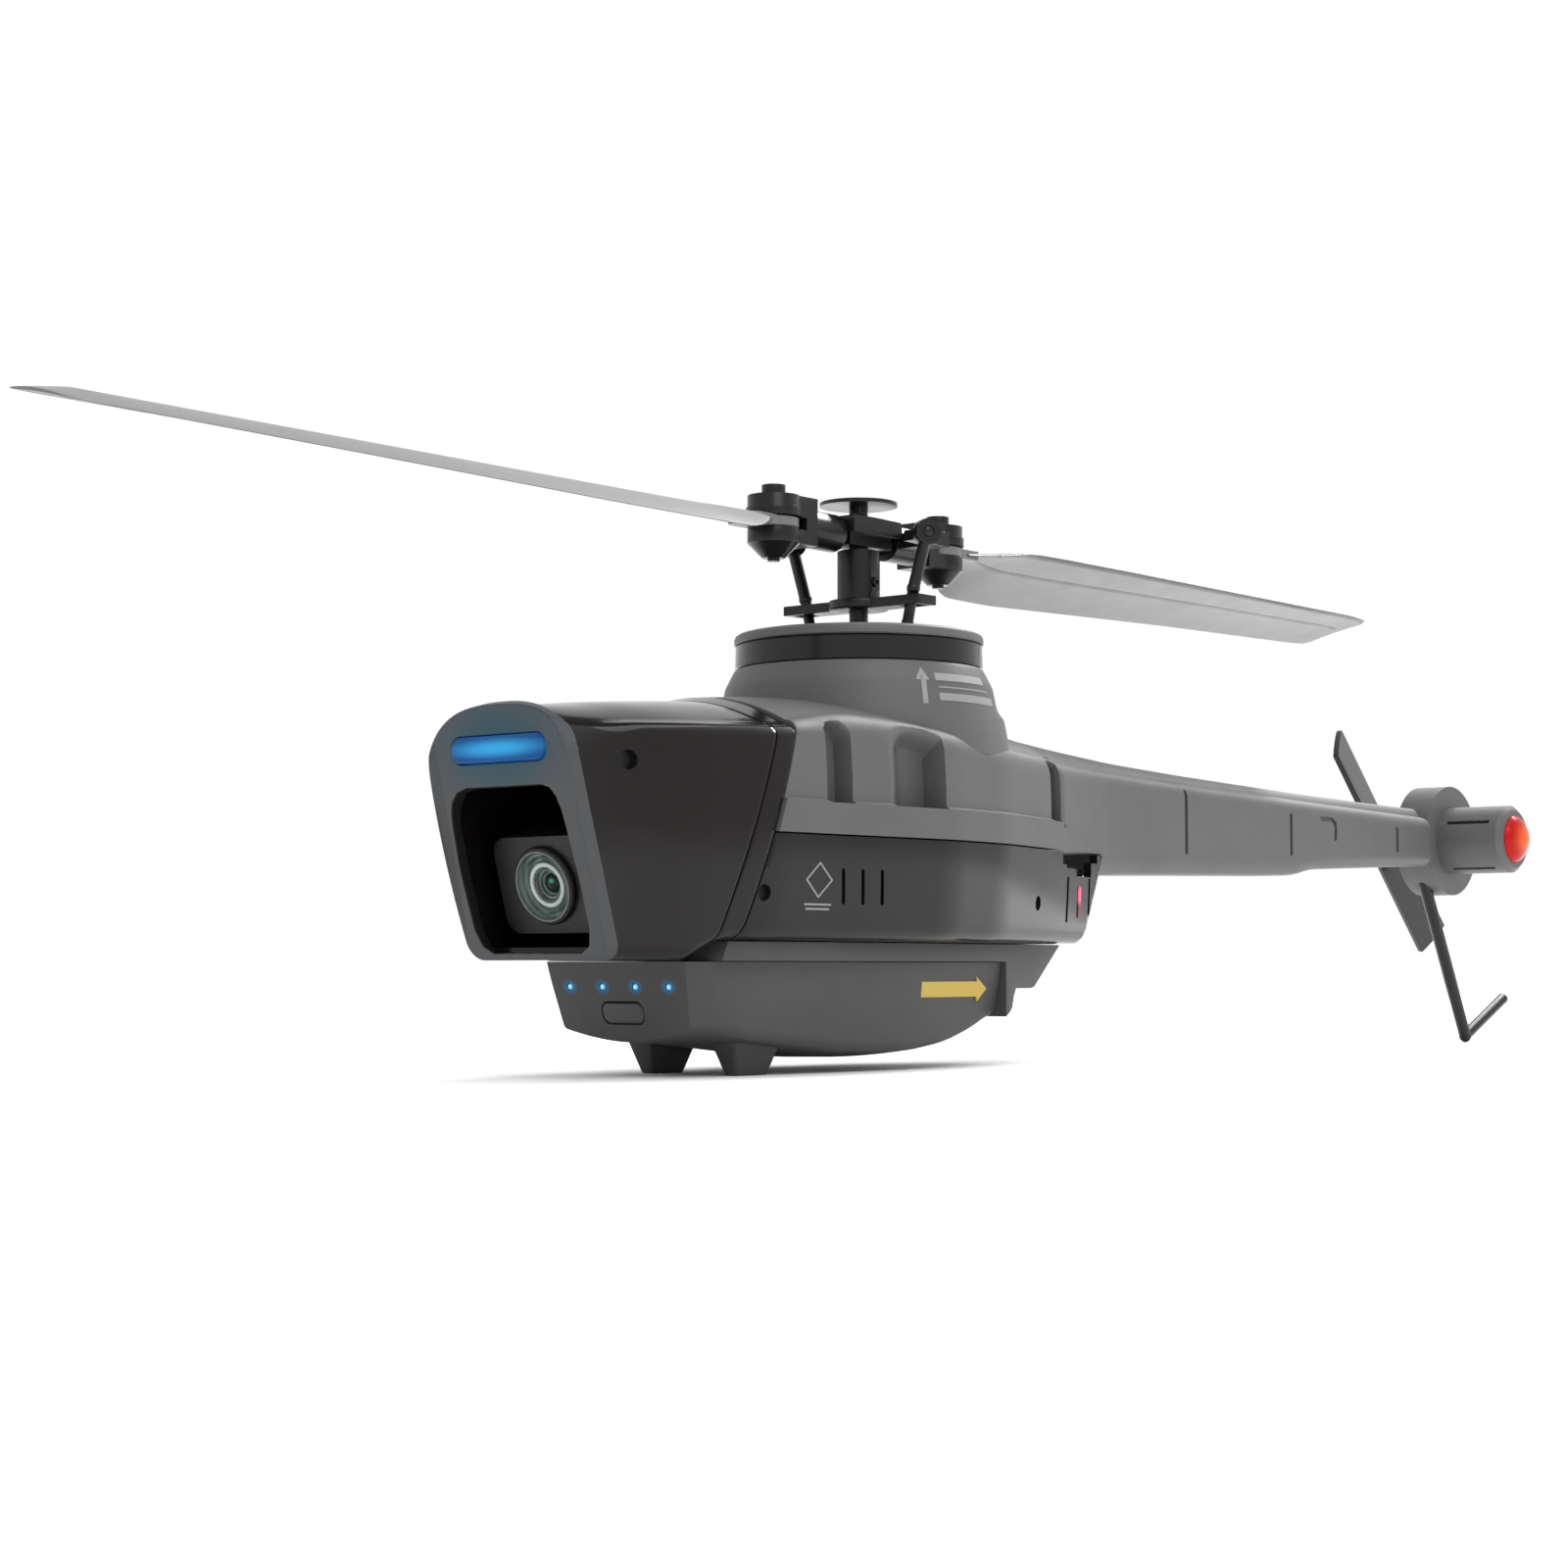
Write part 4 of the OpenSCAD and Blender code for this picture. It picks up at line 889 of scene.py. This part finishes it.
for y in (-8.1, -2.7, 2.7, 8.1):
    carve(battery, lathe("led_hole", [(0.5, 40), (0.5, 55)], (0, y, 10.85), (1, 0, 0), None, None, 24))
for p in battery.data.polygons:
    p.use_smooth = True
battery.data.set_sharp_from_angle(angle=math.radians(30))
bevel(battery, 0.3, 3, 42)
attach(battery, "battery")
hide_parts("battery_case")
for s, label in ((1, "port"), (-1, "starboard")):
    verts = []
    for z, ax, ay in ((0.0, 2.9, 0.95), (0.2, 3.0, 1.0), (5.4, 4.9, 2.4), (5.6, 5.0, 2.5)):
        verts += [(31 + a, s * 6.9 + b, z) for a, b in rounded_rect(0, 0, ax, ay, 0.35, 3)]
    foot = make("battery_foot_" + label, verts, rows_to_faces(4, 16, True) + [tuple(range(16))], BATTERY, "battery")
    bevel(foot, 0.15, 2, 40)
rail = prism("battery_rail", [(-3, 13.2), (3, 13.2), (3, 14.6), (4.5, 14.6), (4.5, 15.4), (-4.5, 15.4), (-4.5, 14.6),
                              (-3, 14.6)], -13, 10, "x", BATTERY, "battery")
bevel(rail, 0.1, 2, 40)
pill = prism("power_button_cap", rounded_rect(0, 7.7, 3.35, 1.27, 1.1), 41.0, 45.75, "x", BUTTON, None)
for v in pill.data.vertices:
    if v.co.x / MM - MAST_X > 44:
        v.co.x += 0.266 * (v.co.z / MM - 7.7) * MM
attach(pill, "button")
bevel(pill, 0.3, 3, 40)
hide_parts("power_button")
for i, y in enumerate((-8.1, -2.7, 2.7, 8.1)):
    dot = lathe("battery_led_" + str(i), [(0.5, 41.3), (0.5, 46.2), (0.35, 46.45), (0.001, 46.55)], (0, y, 10.85),
                (1, 0, 0), LED[i], "battery", 24)
    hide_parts("battery_lights")
slope = 0.066
arrow = [(3.8, 9.35), (3.8, 11.35), (-9.3, 11.35), (-9.1, 12.0), (-11.7, 10.4), (-9.6, 8.7), (-9.4, 9.35)]
verts = []
for depth in (-0.3, 0.04):
    for x, z in arrow:
        side = smooth_line(x, SIDE_W) - 0.9 * min(max((13.5 - z) / 9.0, 0), 1) ** 1.3
        verts.append((x, side + depth, z))
n = len(arrow)
label = make("battery_arrow", verts, [tuple(range(n)), tuple(range(2 * n - 1, n - 1, -1))] +
             [(i, (i + 1) % n, n + (i + 1) % n, n + i) for i in range(n)], YELLOW, "battery")
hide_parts("battery_label")

# ---------------------------------------------------------------- belly tray
tray_xs = stations_between(-33, 45.6, 1.2)
tray = prism("belly_tray_body", [(43.9, 13.95), (43.1, 16.3), (-32.6, 16.3), (-24.6, 11.0), (-23.9, 10.55), (-22.8, 10.4),
                                 (-18.3, 10.4), (-17.6, 9.2), (-17.2, 7.9), (-16.6, 7.3), (-15.25, 6.6),
                                 (-15.25, 13.95)], -16, 16, "y", None, None)
plan = [(-34, -9.4), (-24, -11.4), (-15, -13.0), (5, -14.6), (28, -15.6), (40, -15.2), (47, -13.6), (47, 13.6),
        (40, 15.2), (28, 15.6), (5, 14.6), (-15, 13.0), (-24, 11.4), (-34, 9.4)]
carve(tray, prism("tray_plan", plan, 0, 30, "z"), "INTERSECT")
tray.data.materials.clear()
tray.data.materials.append(BATTERY)
carve(tray, box_solid("tray_slot", -15.4, 60, -4.8, 4.8, 13, 15.6))
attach(tray, "airframe")
bevel(tray, 0.35, 3, 40)
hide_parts("belly_tray")

# ---------------------------------------------------------------- rotor blades
CHORD = [(21, 5.6), (24, 7.5), (28, 13.0), (33, 17.0), (45, 17.6), (60, 16.6), (90, 15.0), (126, 13.8), (130.5, 13.0),
         (132, 12), (132.5, 10.0)]
LEAD = [(21, 2.8), (24, 3.4), (30, 4.8), (40, 5.1), (60, 5.0), (90, 4.8), (126, 4.6), (131, 4.0), (132.5, 2.6)]
TWIST = [(21, 0), (24, 2), (34, 16), (60, 16), (132.5, 13)]


def foil_point(r, t, upper):
    """Point of the blade's skin at span r and share t of the chord from the leading edge."""
    c = smooth_line(r, CHORD) if r < 128 else lerp_line(r, CHORD)
    le = smooth_line(r, LEAD) if r < 128 else lerp_line(r, LEAD)
    a = math.radians(smooth_line(r, TWIST))
    thick = lerp_line(r, [(21, 0.7), (32, 1.25), (128, 1.15), (132.5, 0.45)])
    shape = min(2.6 * math.sqrt(max(t, 0)) * max(1 - t, 0) ** 0.9 + 0.1 * t, 1.2)
    z = 2.2 * thick * t * (1 - t) + (0.4 * thick * shape if upper else -0.3 * thick * shape - 0.02)
    y = le - t * c
    return r, -(y * math.cos(a) - z * math.sin(a)), 70.15 + y * math.sin(a) + z * math.cos(a)


SPANS = [21, 21.6, 22.4, 23.2, 24, 25, 26, 27, 28, 29, 30, 31, 32, 33, 34.5, 36, 39, 42, 46, 50]
SPANS += [50 + 4 * i for i in range(1, 19)] + [124, 126, 128, 129.5, 130.5, 131.3, 131.9, 132.3, 132.5]


def turned(verts, turn):
    c, s = math.cos(turn), math.sin(turn)
    return [(x * c - y * s, x * s + y * c, z) for x, y, z in verts]


def blade_mesh(name, turn, body):
    verts = []
    chord = [(1 - math.cos(math.pi * i / 20)) / 2 for i in range(21)]
    for r in SPANS:
        verts += [foil_point(r, t, True) for t in chord] + [foil_point(r, t, False) for t in reversed(chord)]
    n = 2 * len(chord)
    faces = rows_to_faces(len(SPANS), n, True)
    faces += [tuple(range(n)), tuple((len(SPANS) - 1) * n + i for i in range(n - 1, -1, -1))]
    return make(name, turned(verts, turn), faces, BLADE, body, sharp=40)


def blade_strip(name, turn, body, t0, t1, first, last, lift, wrap=False):
    """Dark line along the blade: a thin strip just proud of the underside, or wrapped round the leading edge."""
    verts = []
    spans = [r for r in SPANS if first <= r <= last]
    for r in spans:
        if wrap:
            row = [foil_point(r, t1, True), foil_point(r, t1 / 3, True), foil_point(r, 0, True), foil_point(r, 0, False),
                   foil_point(r, t1 / 3, False), foil_point(r, t1, False)]
            mid = [sum(q[k] for q in row) / 6 for k in range(3)]
            row = [tuple(q[k] + lift * (q[k] - mid[k]) / max(math.dist(q, mid), 0.01) for k in range(3)) for q in row]
        else:
            low = [foil_point(r, t0, False), foil_point(r, t1, False)]
            row = [(x, y, z - lift) for x, y, z in low] + [(x, y, z + 0.05) for x, y, z in reversed(low)]
        verts += row
    n = 6 if wrap else 4
    faces = rows_to_faces(len(spans), n, True)
    faces += [tuple(range(n)), tuple((len(spans) - 1) * n + i for i in range(n - 1, -1, -1))]
    return make(name, turned(verts, turn), faces, NYLON, body)


for name, turn in (("front", 0.0), ("rear", math.pi)):
    blade = blade_mesh("blade_" + name + "_foil", turn, "blade_" + name)
    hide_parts("blade_" + name)
    # Painted shade: a dark strip along the crease between the two facets of the blade's underside.
    blade_strip("blade_" + name + "_crease_shade", turn, "blade_" + name, 0.40, 0.45, 27, 131, 0.03)
    blade_strip("blade_" + name + "_edge", turn, "blade_" + name, 0, 0.07, 27, 132, 0.04, True)
    sx = 1 if turn == 0 else -1
    lug = lathe("blade_" + name + "_lug", [(0.86, 69.66), (3.1, 69.66), (3.28, 69.8), (3.28, 70.9), (3.1, 71.04),
                                          (0.86, 71.04)], (sx * 17.6, 0, 0), (0, 0, 1), BLADE, "blade_" + name, 64)
    neck = prism("blade_" + name + "_neck", [(sx * a, b) for a, b in ((18.5, -2.6), (23.6, -2.6), (24.4, -1.8), (24.4, 1.8),
                 (23.6, 2.6), (18.5, 2.6))], 69.66, 71.04, "z", BLADE, "blade_" + name)
    bevel(neck, 0.15, 2, 40)

# ---------------------------------------------------------------- lens
TILT = math.radians(16)
PIVOT = (52.5, 0, 24.6)
AIM = (math.cos(TILT), 0, -math.sin(TILT))
LENS = [
    ("lens_bezel", [(4.4, 6.3), (4.72, 6.5), (4.72, 6.95), (4.55, 7.2), (4.3, 7.26), (4.1, 7.1), (4.0, 6.7)], CAMERA),
    ("lens_rim", [(4.32, 7.22), (4.24, 7.36), (4.08, 7.36), (3.98, 7.2), (3.95, 6.9)], RIM),
    ("lens_hood", [(3.97, 7.1), (3.9, 6.9), (3.5, 6.72), (3.42, 6.78), (3.3, 6.62), (2.9, 6.45), (2.86, 6.5), (2.6, 6.3)],
     LENS_PAINTED_RINGS),
    ("lens_inner_ring", [(2.75, 6.3), (2.7, 6.55), (2.5, 6.68), (2.25, 6.6), (2.1, 6.3)], RIM_PALE),
    ("lens_well", [(2.15, 6.4), (1.9, 5.9), (1.6, 5.85), (1.5, 5.6), (1.1, 5.45), (0.9, 5.3)], LENS_PAINTED_RINGS),
    ("lens_pupil", [(1.2, 5.3), (1.15, 5.6), (0.95, 5.85), (0.6, 6.02), (0.25, 6.1), (0.001, 6.12)], PUPIL_PAINTED_GLINT),
]
for name, profile, material in LENS:
    ring = lathe(name, profile, PIVOT, AIM, material, "camera", 72, ends="open")
    if name != "lens_pupil":
        thicken(ring, 0.12)
    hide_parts("lens_glass" if name == "lens_pupil" else "lens_barrel")

# ---------------------------------------------------------------- CAD nodes that show as they are
KEEP = {
    # The inner black on the screws, frame, servos, board, swash collar and camera bracket is partly painted shade.
    "casing_screws": INNER_BLACK_AND_SHADE, "tail_housing": GREY, "tail_motor": STEEL, "tail_skid": NYLON,
    "tail_rotor_shaft": STEEL, "tail_rotor": BLACK, "main_frame": INNER_BLACK_AND_SHADE, "shaft_bearings": STEEL,
    "main_motor": STEEL, "motor_pinion": BRASS, "main_gear": PRINT, "servo_pitch": INNER_BLACK_AND_SHADE, "servo_roll": INNER_BLACK_AND_SHADE,
    "servo_slider_pitch": PRINT, "servo_slider_roll": PRINT, "circuit_board": INNER_BLACK_AND_SHADE, "swash_collar": INNER_BLACK_AND_SHADE,
    "swash_gimbal": STEEL, "swash_lower": NYLON, "swash_upper": STEEL, "main_shaft": NYLON, "rotor_hub": NYLON,
    "hub_screw": NYLON, "follower_bar": NYLON, "feathering_spindle": STEEL, "head_cap": NYLON,
    "grip_front": NYLON, "grip_rear": NYLON, "blade_bolt_front": NYLON, "blade_bolt_rear": NYLON,
    "link_port": NYLON, "link_starboard": NYLON, "camera_housing": CAMERA, "camera_bracket": INNER_BLACK_AND_SHADE,
    "battery_cell": PRINT, "battery_contacts": BRASS,
    "tail_lamp_lens": LAMP,
}
SOFT = {"camera_housing": 0.5, "tail_housing": 0.3, "rotor_hub": 0.25, "follower_bar": 0.2, "grip_front": 0.18,
        "grip_rear": 0.18, "tail_rotor": 0.2, "blade_bolt_front": 0.18, "blade_bolt_rear": 0.18, "head_cap": 0.15}
for name, material in KEEP.items():
    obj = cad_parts[name]
    obj.data.materials.clear()
    obj.data.materials.append(material)
    for p in obj.data.polygons:
        p.use_smooth = True
    weld = obj.modifiers.new("weld", "WELD")
    weld.merge_threshold = 0.001 * MM
    bevel(obj, SOFT.get(name, 0.1), 2, 35)
    normals = obj.modifiers.new("normals", "WEIGHTED_NORMAL")
    normals.keep_sharp = False

# ---------------------------------------------------------------- floor, light and camera
floor_mesh = bpy.data.meshes.new("floor")
verts = [(-8, -8, 0), (8, -8, 0), (8, 8, 0), (-8, 8, 0)]
floor_mesh.from_pydata(verts, [], [(0, 1, 2, 3)])
floor = bpy.data.objects.new("floor", floor_mesh)
bpy.context.scene.collection.objects.link(floor)
for p in floor_mesh.polygons:
    p.use_smooth = True
FLOOR_MAT, tree, out = shade("floor_white")
paper = node(tree, "ShaderNodeTexNoise", Scale=300.0, Detail=3.0)
coord = node(tree, "ShaderNodeTexCoord")
tree.links.new(coord.outputs["Object"], paper.inputs["Vector"])
tone = node(tree, "ShaderNodeMapRange")
tone.inputs["To Min"].default_value = 0.97
tone.inputs["To Max"].default_value = 0.99
tree.links.new(paper.outputs["Fac"], tone.inputs["Value"])
tree.links.new(tone.outputs["Result"], out.inputs["Base Color"])
out.inputs["Roughness"].default_value = 0.9
out.inputs["Specular IOR Level"].default_value = 0.1
floor_mesh.materials.append(FLOOR_MAT)

world = bpy.data.worlds.new("studio")
bpy.context.scene.world = world
world.use_nodes = True
world.node_tree.nodes["Background"].inputs["Color"].default_value = (1, 1, 1, 1)
world.node_tree.nodes["Background"].inputs["Strength"].default_value = 1.02


def area(name, at, aim, size, power):
    data = bpy.data.lights.new(name, "AREA")
    data.shape = "RECTANGLE"
    data.size, data.size_y = size
    data.energy = power
    obj = bpy.data.objects.new(name, data)
    bpy.context.scene.collection.objects.link(obj)
    obj.location = at
    obj.rotation_euler = (Vector(aim) - Vector(at)).to_track_quat("-Z", "Y").to_euler()
    return obj


area("key", (0.5, 0.9, 0.9), (0, 0, 0.03), (0.7, 0.5), 5)
area("top", (-0.1, 0.1, 1.0), (0, 0, 0.03), (1.0, 0.5), 4)
area("rim", (-0.7, -0.05, 0.65), (0.03, 0, 0.03), (0.5, 0.12), 7)

camera_data = bpy.data.cameras.new("camera")
camera_data.lens = 2978 / 1600 * 36
camera_data.sensor_width = 36
camera_data.clip_start = 0.01
camera = bpy.data.objects.new("camera", camera_data)
bpy.context.scene.collection.objects.link(camera)
forward = Vector((-0.7667, -0.6420, 0)).normalized() * math.cos(0.063) + Vector((0, 0, math.sin(0.063)))
camera.location = (0.3032 + MAST_X * MM, 0.2409, 0.0131)
camera.rotation_euler = forward.to_track_quat("-Z", "Y").to_euler()
bpy.context.scene.camera = camera
bpy.context.scene.view_settings.view_transform = "Standard"
